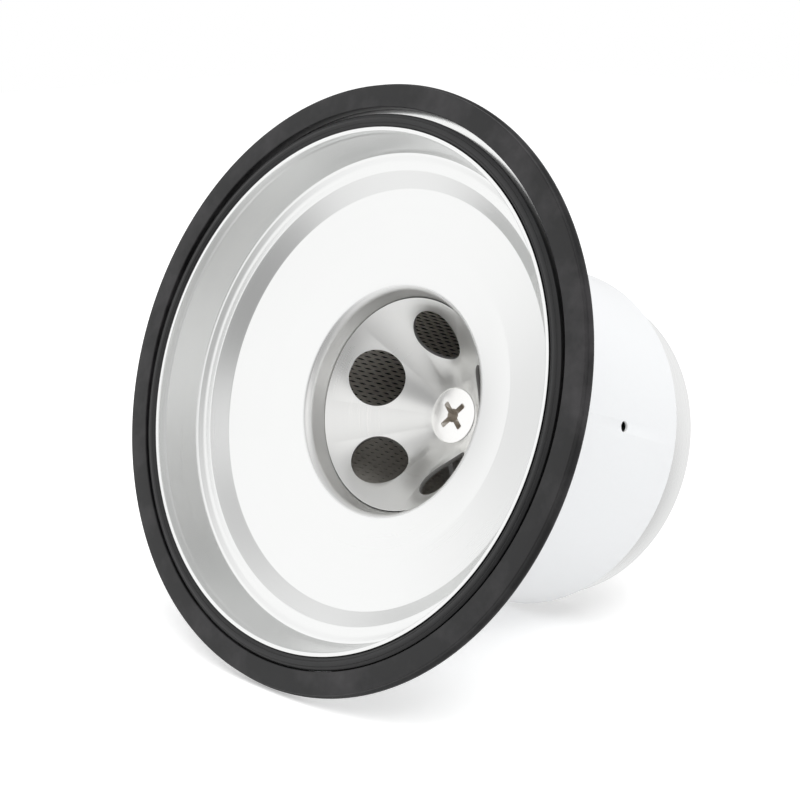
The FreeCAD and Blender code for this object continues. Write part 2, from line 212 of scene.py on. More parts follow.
def line_piece(name, points, closed=True):
    """A mesh of edges only, through the given points: the outline that the lathe turns."""
    mesh = bpy.data.meshes.new(name)
    edges = [(n, n + 1) for n in range(len(points) - 1)]
    if closed:
        edges.append((len(points) - 1, 0))
    mesh.from_pydata(points, edges, [])
    piece = bpy.data.objects.new(name, mesh)
    scene.collection.objects.link(piece)
    return piece


def grow(name, tree, sharp_degrees=40, **values):
    """A piece that its tree makes from nothing but sizes: the short line it starts from is dropped."""
    piece = line_piece(name, [(0, 0, 0), (0, 0, 1 * MM)], closed=False)
    run_tree(piece, tree, **values)
    outward(piece.data, sharp_degrees)
    print(f"{name}: {len(piece.data.polygons)} faces")
    return piece


print("helpers: nodes, trees, outlines and normals")

# %% [markdown]
# ## Outlines with bends
#
# Spun sheet has no sharp corners: every bend has a radius, and the far side of the sheet bends
# round the same centre.  An outline is therefore a list of corners, each (radius, depth, bend)
# in millimetres, and these helpers turn it into points.  The second face of a sheet is the same
# outline moved sideways by the sheet's thickness.

# %% Outline helpers
ARC_POINTS = 7


def rounded_loop(corners):
    """Points of a closed outline: each corner (r, depth, bend) becomes a short arc of that bend."""
    points = []
    count = len(corners)
    for index, (r, depth, bend) in enumerate(corners):
        here = Vector((r, depth))
        back = Vector(corners[index - 1][:2]) - here
        ahead = Vector(corners[(index + 1) % count][:2]) - here
        half = back.angle(ahead) / 2
        reach = min(bend / math.tan(half), 0.49 * back.length, 0.49 * ahead.length)
        if bend < 0.02 or half > math.radians(89):
            points.append(here)
            continue
        radius = reach * math.tan(half)
        centre = here + (back.normalized() + ahead.normalized()).normalized() * (radius / math.sin(half))
        first = here + back.normalized() * reach - centre
        turn = first.angle_signed(here + ahead.normalized() * reach - centre)
        for step in range(ARC_POINTS):
            spoke = first.copy()
            spoke.rotate(Matrix.Rotation(-turn * step / (ARC_POINTS - 1), 2))
            points.append(centre + spoke)
    return [(p.x * MM, 0, up(p.y)) for p in points]


def beside(corners, distance):
    """The same corners moved sideways by a distance, to the outside of a sheet drawn downwards."""
    moved = []
    for index, (r, depth, bend) in enumerate(corners):
        here = Vector((r, depth))
        into = here - Vector(corners[max(index - 1, 0)][:2])
        out = Vector(corners[min(index + 1, len(corners) - 1)][:2]) - here
        into = into if into.length else out
        out = out if out.length else into
        side_in = Vector((into.y, -into.x)).normalized()
        side_out = Vector((out.y, -out.x)).normalized()
        shift = (side_in + side_out) * (distance / (1 + side_in.dot(side_out)))
        wider = distance if into.x * out.y - into.y * out.x > 0 else -distance
        moved.append((r + shift.x, depth + shift.y, max(bend + wider, 0.05)))
    return moved


print("every bend gets", ARC_POINTS, "points")

# %% [markdown]
# ## The lathe
#
# The tree makes a grid with one row for each point of the outline and one column for each step
# round the axis.  Row number picks the outline's point, column number picks the angle, and the
# grid's last column lands on its first, where the seam is closed.  A Screw modifier could do the
# same, but the tree shows how a surface is only a rule from grid numbers to places.

# %% Lathe tree
lathe, lathe_in, lathe_end = new_tree("lathe", Steps="Int", Shift="Float", Material="Material")
outline_size = add(lathe, "GeometryNodeAttributeDomainSize", {0: lathe_in["Geometry"]}).outputs["Point Count"]
rows = maths(lathe, "ADD", outline_size, 1)
columns = maths(lathe, "ADD", lathe_in["Steps"], 1)
grid = add(lathe, "GeometryNodeMeshGrid", {"Vertices X": rows, "Vertices Y": columns})
row, column = grid_place(lathe, columns)
outline_place = add(lathe, "GeometryNodeInputPosition").outputs[0]
picked = add(
    lathe, "GeometryNodeSampleIndex",
    {"Geometry": lathe_in["Geometry"], "Index": maths(lathe, "FLOORED_MODULO", row, outline_size)},
    data_type="FLOAT_VECTOR",
)
lathe.links.new(outline_place, picked.inputs["Value"])
turned = add(
    lathe, "ShaderNodeVectorRotate",
    {"Vector": picked.outputs["Value"],
     "Angle": maths(lathe, "MULTIPLY", maths(lathe, "DIVIDE", column, lathe_in["Steps"]), 2 * math.pi)},
    rotation_type="Z_AXIS",
)
off_axis = add(lathe, "ShaderNodeCombineXYZ", {"X": lathe_in["Shift"]})
placed = add(
    lathe, "ShaderNodeVectorMath", {0: turned.outputs[0], 1: off_axis.outputs[0]}, operation="ADD")
spun = add(
    lathe, "GeometryNodeSetPosition", {"Geometry": grid.outputs["Mesh"], "Position": placed.outputs[0]})
end_tree(lathe, sew(lathe, spun.outputs[0]), lathe_in["Material"], lathe_end)
print("lathe tree:", len(lathe.nodes), "nodes")


def turn(name, corners, material, shift=0.0, steps=STEPS):
    """A closed ring, disc or dish, turned from an outline of (radius, depth, bend) corners."""
    piece = line_piece(name, rounded_loop(corners))
    run_tree(piece, lathe, Steps=steps, Shift=shift, Material=material)
    outward(piece.data)
    print(f"{name}: {len(corners)} corners, {len(piece.data.polygons)} faces")
    return piece


def show(piece, node, body):
    """Puts a finished piece in the place of its engineering solid."""
    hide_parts(node)
    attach(piece, body)


# %% [markdown]
# ## Finishes
#
# Spun aluminium carries fine rings left by the roller.  A noise read along the radius and the
# height only, and not round the axis, gives those rings anywhere on any turned piece.  The
# surface also reflects more widely across the rings than along them, which is what draws bright
# wedges on a funnel, so the shader is anisotropic round the Z axis.

# %% Material helpers


def new_material(name, colour, roughness, metallic=0.0):
    """A material with its Principled shader, and that shader."""
    material = bpy.data.materials.new(name)
    material.use_nodes = True
    tree = material.node_tree
    shader = tree.nodes["Principled BSDF"]
    shader.inputs["Base Color"].default_value = (*colour, 1)
    shader.inputs["Roughness"].default_value = roughness
    shader.inputs["Metallic"].default_value = metallic
    return material, tree, shader


def ring_place(tree):
    """A vector of distance from the axis and height: the same all the way round."""
    place = add(tree, "ShaderNodeTexCoord").outputs["Object"]
    flat = add(tree, "ShaderNodeVectorMath", {0: place, 1: (1, 1, 0)}, operation="MULTIPLY").outputs[0]
    distance = add(tree, "ShaderNodeVectorMath", {0: flat}, operation="LENGTH").outputs["Value"]
    height = add(tree, "ShaderNodeSeparateXYZ", {0: place}).outputs["Z"]
    return add(tree, "ShaderNodeCombineXYZ", {"X": distance, "Y": height}).outputs[0], place


def spun_metal(name, colour, roughness, ring_mm, depth_mm, stretch):
    """Aluminium with roller rings about ring_mm apart and depth_mm deep."""
    material, tree, shader = new_material(name, colour, roughness, metallic=1.0)
    rings, place = ring_place(tree)
    fine = add(tree, "ShaderNodeTexNoise", {"Vector": rings, "Scale": 1 / (ring_mm * MM), "Detail": 3.0})
    smudge = add(tree, "ShaderNodeTexNoise", {"Vector": place, "Scale": 22.0, "Detail": 2.0})
    spread = add(tree, "ShaderNodeMapRange", {
        "Value": maths(tree, "ADD", fine.outputs["Fac"], smudge.outputs["Fac"]),
        "From Min": 0.6, "From Max": 1.4, "To Min": roughness * 0.85, "To Max": roughness * 1.2})
    tree.links.new(spread.outputs[0], shader.inputs["Roughness"])
    bump = add(tree, "ShaderNodeBump", {
        "Height": fine.outputs["Fac"], "Distance": depth_mm * MM, "Strength": 1.0})
    tree.links.new(bump.outputs[0], shader.inputs["Normal"])
    tangent = add(tree, "ShaderNodeTangent", direction_type="RADIAL", axis="Z")
    tree.links.new(tangent.outputs[0], shader.inputs["Tangent"])
    shader.inputs["Anisotropic"].default_value = stretch
    return material


print("finish helpers: spun metal")

# %% [markdown]
# The rubber is a dull, nearly black moulding.  Handling leaves it with faint paler rub marks, so
# both its colour and its roughness follow a slow noise, with a very fine grain on top.

# %% Rubber


def rubber(name, colour, worn, roughness, grain_mm):
    """Rubber in one colour, rubbed paler in patches, with a grain about grain_mm across."""
    material, tree, shader = new_material(name, colour, roughness)
    place = add(tree, "ShaderNodeTexCoord").outputs["Object"]
    marks = add(tree, "ShaderNodeTexNoise", {
        "Vector": place, "Scale": 60.0, "Detail": 5.0, "Roughness": 0.65})
    faint = add(tree, "ShaderNodeMapRange", {
        "Value": marks.outputs["Fac"], "From Min": 0.45, "From Max": 0.75})
    tone = add(tree, "ShaderNodeMix", {"Factor": faint.outputs[0]}, data_type="RGBA")
    tone.inputs["A"].default_value = (*colour, 1)
    tone.inputs["B"].default_value = (*worn, 1)
    tree.links.new(tone.outputs["Result"], shader.inputs["Base Color"])
    dull = add(tree, "ShaderNodeMapRange", {
        "Value": marks.outputs["Fac"], "To Min": roughness - 0.08, "To Max": roughness + 0.1})
    tree.links.new(dull.outputs[0], shader.inputs["Roughness"])
    grain = add(tree, "ShaderNodeTexNoise", {"Vector": place, "Scale": 1 / (grain_mm * MM), "Detail": 2.0})
    bump = add(tree, "ShaderNodeBump", {
        "Height": grain.outputs["Fac"], "Distance": 0.02 * MM, "Strength": 0.5})
    tree.links.new(bump.outputs[0], shader.inputs["Normal"])
    return material


print("finish helpers: rubber")

# %% [markdown]
# Enamel on the can is a smooth sprayed coat: white, half gloss, with the slight orange peel that
# sprayed paint always has.  Steel, paper and nylon are plain too, so one helper makes them all:
# a single noise moves tone, sheen and surface together, as real wear and grain do.  Three of
# the finishes are only for part of a piece: the collar's duller aluminium, lighter in tone as
# painted light; the sheared wall that a punch leaves round a vent, darkened as painted shade; and
# the worn walls of the screw's recess, darkened as painted shade.

# %% Enamel, steel, mesh, paper and nylon


def grained(name, colour, roughness, metallic, scale, depth_mm, mottle=0.06, coat=0.0):
    """A plain finish whose tone, sheen and surface all wander a little with one noise."""
    material, tree, shader = new_material(name, colour, roughness, metallic)
    place = add(tree, "ShaderNodeTexCoord").outputs["Object"]
    noise = add(tree, "ShaderNodeTexNoise", {"Vector": place, "Scale": scale, "Detail": 3.0}).outputs["Fac"]
    tone = add(tree, "ShaderNodeHueSaturation", {"Color": (*colour, 1)})
    value = add(tree, "ShaderNodeMapRange", {"Value": noise, "To Min": 1 - mottle, "To Max": 1 + mottle / 3})
    tree.links.new(value.outputs[0], tone.inputs["Value"])
    tree.links.new(tone.outputs[0], shader.inputs["Base Color"])
    rough = add(tree, "ShaderNodeMapRange", {
        "Value": noise, "To Min": roughness * 0.85, "To Max": roughness * 1.15})
    tree.links.new(rough.outputs[0], shader.inputs["Roughness"])
    bump = add(tree, "ShaderNodeBump", {"Height": noise, "Distance": depth_mm * MM, "Strength": 0.6})
    tree.links.new(bump.outputs[0], shader.inputs["Normal"])
    shader.inputs["Coat Weight"].default_value = coat
    shader.inputs["Coat Roughness"].default_value = 0.15
    return material


pan_metal = spun_metal("spun_aluminium", (0.90, 0.905, 0.90), 0.24, 0.5, 0.0012, 0.25)
# The collar: rougher than the pan's floor, and lighter in tone as painted light.
lightened_collar_metal = spun_metal("lightened_collar_aluminium", (0.97, 0.97, 0.96), 0.38, 0.5, 0.0012, 0.25)
funnel_metal = spun_metal("funnel_aluminium", (0.93, 0.93, 0.915), 0.30, 0.4, 0.0015, 0.6)
band_metal = spun_metal("band_aluminium", (0.92, 0.925, 0.92), 0.26, 0.5, 0.0012, 0.3)
gasket_rubber = rubber("gasket_rubber", (0.006, 0.006, 0.0065), (0.034, 0.032, 0.034), 0.47, 0.5)
seal_rubber = rubber("seal_rubber", (0.008, 0.008, 0.0085), (0.014, 0.014, 0.0145), 0.34, 0.4)
white_enamel = grained("white_enamel", (0.74, 0.75, 0.76), 0.34, 0.0, 900, 0.006, mottle=0.02, coat=0.2)
screw_steel = grained("screw_steel", (0.97, 0.965, 0.95), 0.22, 1.0, 900, 0.0006, mottle=0.03)
stud_steel = grained("stud_steel", (0.62, 0.62, 0.61), 0.35, 1.0, 1200, 0.01)
mesh_steel = grained("mesh_steel", (0.74, 0.71, 0.66), 0.5, 0.3, 2500, 0.02, mottle=0.2)
guard_steel = grained("guard_steel", (0.56, 0.56, 0.55), 0.42, 0.75, 2500, 0.02, mottle=0.2)
# The vents' cut walls: a duller torn finish, darkened as painted shade inside the holes.
sheared_wall_and_shade = grained("sheared_wall_and_shade", (0.30, 0.295, 0.29), 0.55, 0.6, 1500, 0.01, mottle=0.2)
# The recess's walls: worn metal, darkened as painted shade inside the recess.
recess_wear_and_shade = grained("recess_wear_and_shade", (0.80, 0.75, 0.69), 0.36, 0.9, 1400, 0.03, mottle=0.35)
cap_steel = grained("cap_steel", (0.66, 0.67, 0.68), 0.36, 1.0, 300, 0.01, mottle=0.12)
filter_paper = grained("filter_paper", (0.035, 0.035, 0.037), 0.9, 0.0, 4000, 0.05, mottle=0.1)
nylon = grained("nylon", (0.82, 0.82, 0.78), 0.45, 0.0, 900, 0.01)
print("finishes:", len(bpy.data.materials))

# %% [markdown]
# ## The pan
#
# One disc of aluminium, spun over a former.  It has a rim with a fine bead inside it, a steep wall,
# a narrow ledge at the wall's foot, a rounded shoulder down to a step, a short slope, a floor of
# two shallow cones that meet in a faint crease, and a collar round the middle opening.
# The flange that carries the gasket is folded out from behind the wall, below the rim.  The
# collar is drawn last and stays a little duller than the floor, and it is given a lighter tone as
# painted light, so a second finish is painted on its faces, which are picked by their distance
# from the axis.

# %% Pan
RIM_R, WALL_FOOT_R, STEP_R, FLOOR_R, CREASE_R, OPENING_R = 68.0, 65.5, 61.2, 56.7, 42.6, 30.6
WALL_FOOT, STEP, FLOOR, OPENING = 12.0, 13.5, 16.6, 21.8
CONE_RIM_R, CONE_RIM, CONE_SHEET, SEAT_GAP = 28.5, 27.9, 1.0, 0.25
FOOT_WIDTH, FOOT_FALL, FOOT_SLOPE, SHOULDER_SLOPE, SHOULDER_BEND = 0.7, 0.25, 29.0, 9.5, 4.0
DISH_SLOPE, LIP_BEND = 9.5, 2.8
THICK = SHEET / MM
GASKET_THICK = 2.8
FLANGE_R = 79.3
COLLAR_FOOT, COLLAR_LIP = 0.7, 0.9
COLLAR_R = CONE_RIM_R + CONE_SHEET / math.sqrt(2) + SEAT_GAP
collar_foot_r = CONE_RIM_R + COLLAR_FOOT
LEDGE = CONE_RIM + CONE_SHEET * math.sqrt(2) - (collar_foot_r - CONE_RIM_R) + SEAT_GAP * math.sqrt(2)
LEDGE_WIDTH = 2.4
foot_end_r, foot_end = WALL_FOOT_R - FOOT_WIDTH, WALL_FOOT + FOOT_FALL
steep, shallow = math.tan(math.radians(FOOT_SLOPE)), math.tan(math.radians(SHOULDER_SLOPE))
shoulder_width = (steep * (foot_end_r - STEP_R) - (STEP - foot_end)) / (steep - shallow)
inner_slope = math.tan(math.radians(DISH_SLOPE))
crease = OPENING - (CREASE_R - OPENING_R) * inner_slope
outer_slope = (crease - FLOOR) / (FLOOR_R - CREASE_R)
inside_of_pan = [
    (RIM_R + 0.3, 0.2, 0.35), (RIM_R + 0.3, 2.2, 0.2), (RIM_R, 2.8, 0.2),
    (WALL_FOOT_R, WALL_FOOT, 0.3), (foot_end_r, foot_end, 0.3),
    (STEP_R + shoulder_width, STEP - shallow * shoulder_width, SHOULDER_BEND), (STEP_R, STEP, 1.2),
    (FLOOR_R, FLOOR, 1.2), (CREASE_R, crease, 4.0), (OPENING_R, OPENING, LIP_BEND),
    (collar_foot_r, LEDGE, 0.4), (collar_foot_r - LEDGE_WIDTH, LEDGE + LEDGE_WIDTH, 0.2),
]
outside_of_pan = beside(inside_of_pan, THICK)
wall_behind = outside_of_pan[0][0]
flange = [
    (wall_behind - 0.15, GASKET_THICK + THICK, 0.4), (FLANGE_R, GASKET_THICK + THICK, 0.3),
    (FLANGE_R, GASKET_THICK, 0.3), (wall_behind, GASKET_THICK, 0.3),
]
pan_corners = inside_of_pan + outside_of_pan[:2:-1] + flange + [outside_of_pan[0]]
pan = turn("spun_pan", pan_corners, pan_metal, steps=384)


def paint(mesh, material, chosen):
    """Gives a second finish to the faces that a test picks out by their middle and their normal."""
    mesh.materials.append(material)
    painted = 0
    for face in mesh.polygons:
        if chosen(face.center / MM, face.normal):
            face.material_index = len(mesh.materials) - 1
            painted += 1
    return painted


def in_collar(middle, _normal):
    """True on the collar, which the roller leaves duller than the floor, and which gets a lighter tone as
    painted light.
    """
    return middle.xy.length < OPENING_R + COLLAR_LIP


print("collar faces:", paint(pan.data, lightened_collar_metal, in_collar))
show(pan, "pan", "pan_unit")

# %% [markdown]
# ## The outer gasket and the rim seal
#
# The gasket is a flat moulded ring that lies loose on the flange, a little off centre, and its
# outer edge flares towards the flange.  The rim seal is a band that fills most of the space
# inside it.  Its crown is a low roof with two fine grooves, and stands just above the gasket.

# %% Gasket and rim seal
GASKET_IN_R, GASKET_FACE_R = 73.9, 80.0
flare_r = GASKET_R / MM
gasket = turn("loose_gasket", [
    (GASKET_IN_R, 0, 0.35), (GASKET_IN_R, GASKET_THICK, 0.2), (flare_r, GASKET_THICK, 0.25),
    (flare_r, 1.9, 0.3), (GASKET_FACE_R - 0.05, 1.5, 0.2), (GASKET_FACE_R - 0.1, 0, 0.3),
], gasket_rubber, shift=GASKET_SHIFT, steps=384)
show(gasket, "outer_gasket", "gasket_ring")

SEAL_IN_R, SEAL_OUT_R, SHOULDER, CROWN = 69.55, 72.95, 0.5, -0.35
seal_middle = (SEAL_IN_R + SEAL_OUT_R) / 2
seal = turn("ribbed_rim_seal", [
    (SEAL_IN_R, GASKET_THICK, 0.1), (SEAL_OUT_R, GASKET_THICK, 0.1), (SEAL_OUT_R, SHOULDER, 0.4),
    (SEAL_OUT_R - 0.75, -0.02, 0.15), (SEAL_OUT_R - 0.95, 0.1, 0.1), (SEAL_OUT_R - 1.1, -0.14, 0.15),
    (seal_middle, CROWN, 1.5),
    (SEAL_IN_R + 1.1, -0.14, 0.15), (SEAL_IN_R + 0.95, 0.1, 0.1), (SEAL_IN_R + 0.75, -0.02, 0.15),
    (SEAL_IN_R, SHOULDER, 0.4),
], seal_rubber, steps=384)
show(seal, "rim_seal", "seal_ring")

# %% [markdown]
# ## Things repeated round the axis
#
# Vents, perforations and buffers all stand in circles.  One tree puts a copy of a shape at every
# place of such a circle: it makes a row of bare points, turns each to its share of the circle,
# and instances the shape there.  The copies are made real at the end.

# %% Ring-of-copies tree
circle, circle_in, circle_end = new_tree(
    "ring_of_copies", Count="Int", First="Float", Material="Material")
points = add(circle, "GeometryNodePoints", {"Count": circle_in["Count"], "Position": (0, 0, 0)})
share = maths(circle, "DIVIDE", add(circle, "GeometryNodeInputIndex").outputs[0], circle_in["Count"])
angle = maths(circle, "ADD", maths(circle, "MULTIPLY", share, 2 * math.pi), circle_in["First"])
facing = add(circle, "ShaderNodeCombineXYZ", {"Z": angle})
copies = add(circle, "GeometryNodeInstanceOnPoints", {
    "Points": points.outputs[0], "Instance": circle_in["Geometry"], "Rotation": facing.outputs[0]})
end_tree(circle, copies.outputs[0], circle_in["Material"], circle_end)
print("ring-of-copies tree:", len(circle.nodes), "nodes")


def around(piece, count, first_degrees, material):
    """Repeats a piece round the Z axis, in place."""
    return run_tree(piece, circle, Count=count, First=math.radians(first_degrees), Material=material)


def mesh_piece(name, vertices, faces, material=None):
    """A piece from plain lists, sewn shut with its faces outwards."""
    mesh = bpy.data.meshes.new(name)
    mesh.from_pydata(vertices, [], faces)
    piece = bpy.data.objects.new(name, mesh)
    scene.collection.objects.link(piece)
    if material:
        mesh.materials.append(material)
    outward(mesh)
    return piece


def rod(name, start, end, radius, sides=96, end_radius=None):
    """A closed straight rod between two places, plain or tapering: used as a drill or a punch."""
    axis = (end - start).normalized()
    side = axis.orthogonal().normalized()
    other = axis.cross(side)
    vertices = []
    for centre, size in ((start, radius), (end, end_radius or radius)):
        for n in range(sides):
            turn_by = 2 * math.pi * n / sides
            vertices.append(centre + (side * math.cos(turn_by) + other * math.sin(turn_by)) * size)
    faces = [(n, (n + 1) % sides, sides + (n + 1) % sides, sides + n) for n in range(sides)]
    faces += [tuple(range(sides)), tuple(range(sides, 2 * sides))]
    return mesh_piece(name, vertices, faces)


def cut(piece, tool):
    """Takes a tool's volume out of a piece, and throws the tool away."""
    saw = piece.modifiers.new("cut", "BOOLEAN")
    saw.operation = "DIFFERENCE"
    saw.solver = "EXACT"
    saw.object = tool
    graph = bpy.context.evaluated_depsgraph_get()
    made = bpy.data.meshes.new_from_object(piece.evaluated_get(graph))
    piece.modifiers.clear()
    piece.data = made
    bpy.data.objects.remove(tool)


# %% [markdown]
# ## The outlet funnel
#
# A plain 45 degree cone whose rim drops into the collar.  Five round vents are punched square
# through its wall, one after another round a circle, and the middle is sunk for the screw.  The
# punches are one rod repeated by the ring tree, taken out with a Boolean, and the cut edges are
# then given a narrow rolled lip, because a punch always leaves one and it catches the light.  The
# wall of a punched hole is torn rather than cut, so it gets a duller finish of its own, with a
# dark tone that is painted shade inside the vents.

# %% Funnel
VENT_COUNT, VENT_R, VENT_CIRCLE_R, VENT_FIRST = 5, 8.0, 20.5, 2.5
SCREW_HEAD_R, SCREW_SHANK_R, NECK_GAP, NECK_LENGTH = 7.9, 4.0, 0.4, 1.5
neck_r = SCREW_SHANK_R + NECK_GAP
HEAD_FACE = CONE_RIM + CONE_RIM_R - SCREW_HEAD_R
cone_bottom = HEAD_FACE + SCREW_HEAD_R - SCREW_SHANK_R + NECK_LENGTH
RIM_GAP = 0.05
rim_reach = collar_foot_r - RIM_GAP - CONE_RIM_R
upper_cone = [
    (CONE_RIM_R + rim_reach, CONE_RIM - rim_reach, 0.05),
    (neck_r, CONE_RIM + CONE_RIM_R - neck_r, 0.2), (neck_r, cone_bottom, 0)]
lower_cone = beside(upper_cone, CONE_SHEET)
lower_cone[0] = (CONE_RIM_R + rim_reach, CONE_RIM + CONE_SHEET * math.sqrt(2) - rim_reach, 0.1)
funnel = turn("vented_funnel", upper_cone + lower_cone[::-1], funnel_metal, steps=384)

vent_middle = Vector((VENT_CIRCLE_R * MM, 0, up(CONE_RIM + CONE_RIM_R - VENT_CIRCLE_R)))
through = Vector((1, 0, -1)).normalized() * VENT_R * MM
punch = rod("vent_punch", vent_middle - through * 0.7, vent_middle + through * 0.7, VENT_R * MM)
VENTS_FROM_R, VENTS_TO_R, ROLLED_LIP = neck_r + 2.2, CONE_RIM_R - 0.4, 0.12
around(punch, VENT_COUNT, VENT_FIRST, None)
cut(funnel, punch)


def roll_edges(mesh, width_mm, chosen, segments=2):
    """Rounds the sharp edges that a test picks out."""
    shell = bmesh.new()
    shell.from_mesh(mesh)
    picked_edges = [edge for edge in shell.edges
                    if len(edge.link_faces) == 2 and edge.calc_face_angle() > 0.9 and chosen(edge)]
    bmesh.ops.bevel(shell, geom=picked_edges, offset=width_mm * MM, segments=segments,
                    profile=0.5, affect="EDGES", clamp_overlap=True)
    shell.to_mesh(mesh)
    shell.free()
    return len(picked_edges)


def on_vent(edge):
    """True for the edges that the punches left, which lie well inside the funnel's rim and neck."""
    reach = ((edge.verts[0].co + edge.verts[1].co) / 2).xy.length / MM
    return VENTS_FROM_R < reach < VENTS_TO_R


def sheared(middle, normal):
    """True on a vent's cut wall, which faces along the sheet instead of away from it: these faces get the
    painted shade.
    """
    reach = middle.xy.length
    away = (Vector((-middle.x, -middle.y, 0)).normalized() + Vector((0, 0, 1))).normalized()
    return VENTS_FROM_R < reach < VENTS_TO_R and abs(normal.dot(away)) < 0.5


rolled = roll_edges(funnel.data, ROLLED_LIP, on_vent)
outward(funnel.data, 40)
print("sheared faces:", paint(funnel.data, sheared_wall_and_shade, sheared))
print(f"funnel: {rolled} edges rolled, {len(funnel.data.polygons)} faces")
show(funnel, "outlet_cone", "funnel")

# %% [markdown]
# ## Screw threads
#
# A thread is a rule too: the radius at any place depends only on how far that place is along the
# pitch, counted both by height and by angle.  This tree makes an open tube as a grid and pulls
# each point in or out by a trapezium wave, fading to the plain shank at both ends.

# %% Thread tree
thread, thread_in, thread_end = new_tree(
    "thread", Bottom="Float", Length="Float", Crest="Float", Depth="Float", Pitch="Float",
    Material="Material")
SIDES, RINGS_PER_TURN, END_ROWS = 40, 10, 5
turns = maths(thread, "DIVIDE", thread_in["Length"], thread_in["Pitch"])
whole_rings = maths(thread, "FLOOR", maths(thread, "MULTIPLY", turns, RINGS_PER_TURN))
thread_rows = maths(thread, "ADD", whole_rings, END_ROWS)
thread_grid = add(thread, "GeometryNodeMeshGrid", {"Vertices X": thread_rows, "Vertices Y": SIDES + 1})
level, side_of_tube = grid_place(thread, SIDES + 1)
sector = maths(thread, "DIVIDE", side_of_tube, SIDES)
last = maths(thread, "SUBTRACT", thread_rows, END_ROWS)
above_end = maths(thread, "MAXIMUM", maths(thread, "SUBTRACT", level, 2), 0)
inner_level = maths(thread, "MINIMUM", above_end, last)
along = maths(thread, "DIVIDE", inner_level, last)
height = maths(thread, "MULTIPLY_ADD", along, thread_in["Length"], thread_in["Bottom"])
phase = maths(thread, "SUBTRACT", maths(thread, "DIVIDE", height, thread_in["Pitch"]), sector)
wave = maths(thread, "PINGPONG", phase, 0.5)
flank = add(thread, "ShaderNodeMapRange", {"Value": wave, "From Min": 0.1, "From Max": 0.42}).outputs[0]
fade = maths(thread, "MINIMUM", maths(thread, "MULTIPLY", along, maths(thread, "MULTIPLY", turns, 0.8)), 1.0)
crest_now = maths(thread, "MULTIPLY", flank, thread_in["Depth"])
root = maths(thread, "SUBTRACT", thread_in["Crest"], thread_in["Depth"])
shaped = maths(thread, "MULTIPLY_ADD", crest_now, fade, root)
inside_ends = maths(thread, "MULTIPLY", maths(thread, "GREATER_THAN", level, 0.5),
                    maths(thread, "LESS_THAN", level, maths(thread, "SUBTRACT", thread_rows, 1.5)))
radius_now = maths(thread, "MULTIPLY", shaped, inside_ends)
sweep = maths(thread, "MULTIPLY", sector, 2 * math.pi)
cut_thread = wrap(thread, thread_grid.outputs["Mesh"], radius_now, sweep, height)
end_tree(thread, sew(thread, cut_thread), thread_in["Material"], thread_end)
print("thread tree:", len(thread.nodes), "nodes")


THREAD_PITCH, THREAD_DEPTH_SHARE = 1.25, 0.62


def threaded(name, bottom_depth, length_mm, crest_mm, material):
    """A closed threaded rod, standing on a depth."""
    return grow(
        name, thread, Bottom=up(bottom_depth), Length=length_mm * MM, Crest=crest_mm * MM,
        Depth=THREAD_DEPTH_SHARE * THREAD_PITCH * MM, Pitch=THREAD_PITCH * MM, Material=material)


def join(first, *others):
    """Joins pieces of one finish into the first."""
    shell = bmesh.new()
    for piece in (first, *others):
        shell.from_mesh(piece.data)
    shell.to_mesh(first.data)
    shell.free()
    for piece in others:
        bpy.data.objects.remove(piece)
    first.data.polygons.foreach_set("use_smooth", [True] * len(first.data.polygons))
    first.data.set_sharp_from_angle(angle=math.radians(35))
    return first


# %% [markdown]
# ## The cone screw
#
# A standard countersunk M8 screw: a flat face with a slightly rounded edge, a 45 degree seat, a
# shank and a thread.  Its cross recess is the negative of the driver's tip, a cross that gets
# narrower and shorter as it goes down, so the tool that cuts it is a stack of shrinking crosses.
# Drivers wear its walls, so the faces inside it get a mottled, browner finish, darkened further
# as painted shade where the recess lies in its own shadow.

# %% Cross recess
RECESS_SPAN, RECESS_WING, RECESS_DEPTH, RECESS_ANGLE = 9.3, 1.65, 4.4, 49.0
SCREW_LENGTH, RUNNING_GAP = 30.0, 0.08
RECESS_LEVELS = (
    # share of the span, share of the wing's width, depth below the head's face
    (1.02, 1.05, -0.6), (1.0, 1.0, 0.0), (0.93, 0.92, 0.25), (0.62, 0.8, 2.4), (0.42, 0.62, 3.7),
)


def cross_tool():
    """A closed tool in the shape of the driver's tip."""
    vertices, faces = [], []
    for reach, breadth, sunk in RECESS_LEVELS:
        half = RECESS_WING / 2 * breadth
        wing = RECESS_SPAN / 2 * reach
        valley = half + 0.55 * reach
        for quarter in range(4):
            swing = math.radians(RECESS_ANGLE + 90 * quarter)
            for x, y in ((wing - 0.3, -half), (wing, -half * 0.55), (wing, half * 0.55), (wing - 0.3, half),
                         (valley + 0.35, half), (valley, valley), (half, valley + 0.35)):
                vertices.append((
                    (x * math.cos(swing) - y * math.sin(swing)) * MM,
                    (x * math.sin(swing) + y * math.cos(swing)) * MM, up(HEAD_FACE + sunk)))
    ring_size = len(vertices) // len(RECESS_LEVELS)
    for level_number in range(len(RECESS_LEVELS) - 1):
        for k in range(ring_size):
            low, high = level_number * ring_size, (level_number + 1) * ring_size
            faces.append((low + k, low + (k + 1) % ring_size, high + (k + 1) % ring_size, high + k))
    faces.append(tuple(range(ring_size)))
    vertices.append((0, 0, up(HEAD_FACE + RECESS_DEPTH)))
    base = ring_size * (len(RECESS_LEVELS) - 1)
    faces += [(base + k, base + (k + 1) % ring_size, len(vertices) - 1) for k in range(ring_size)]
    return mesh_piece("cross_tool", vertices, faces)


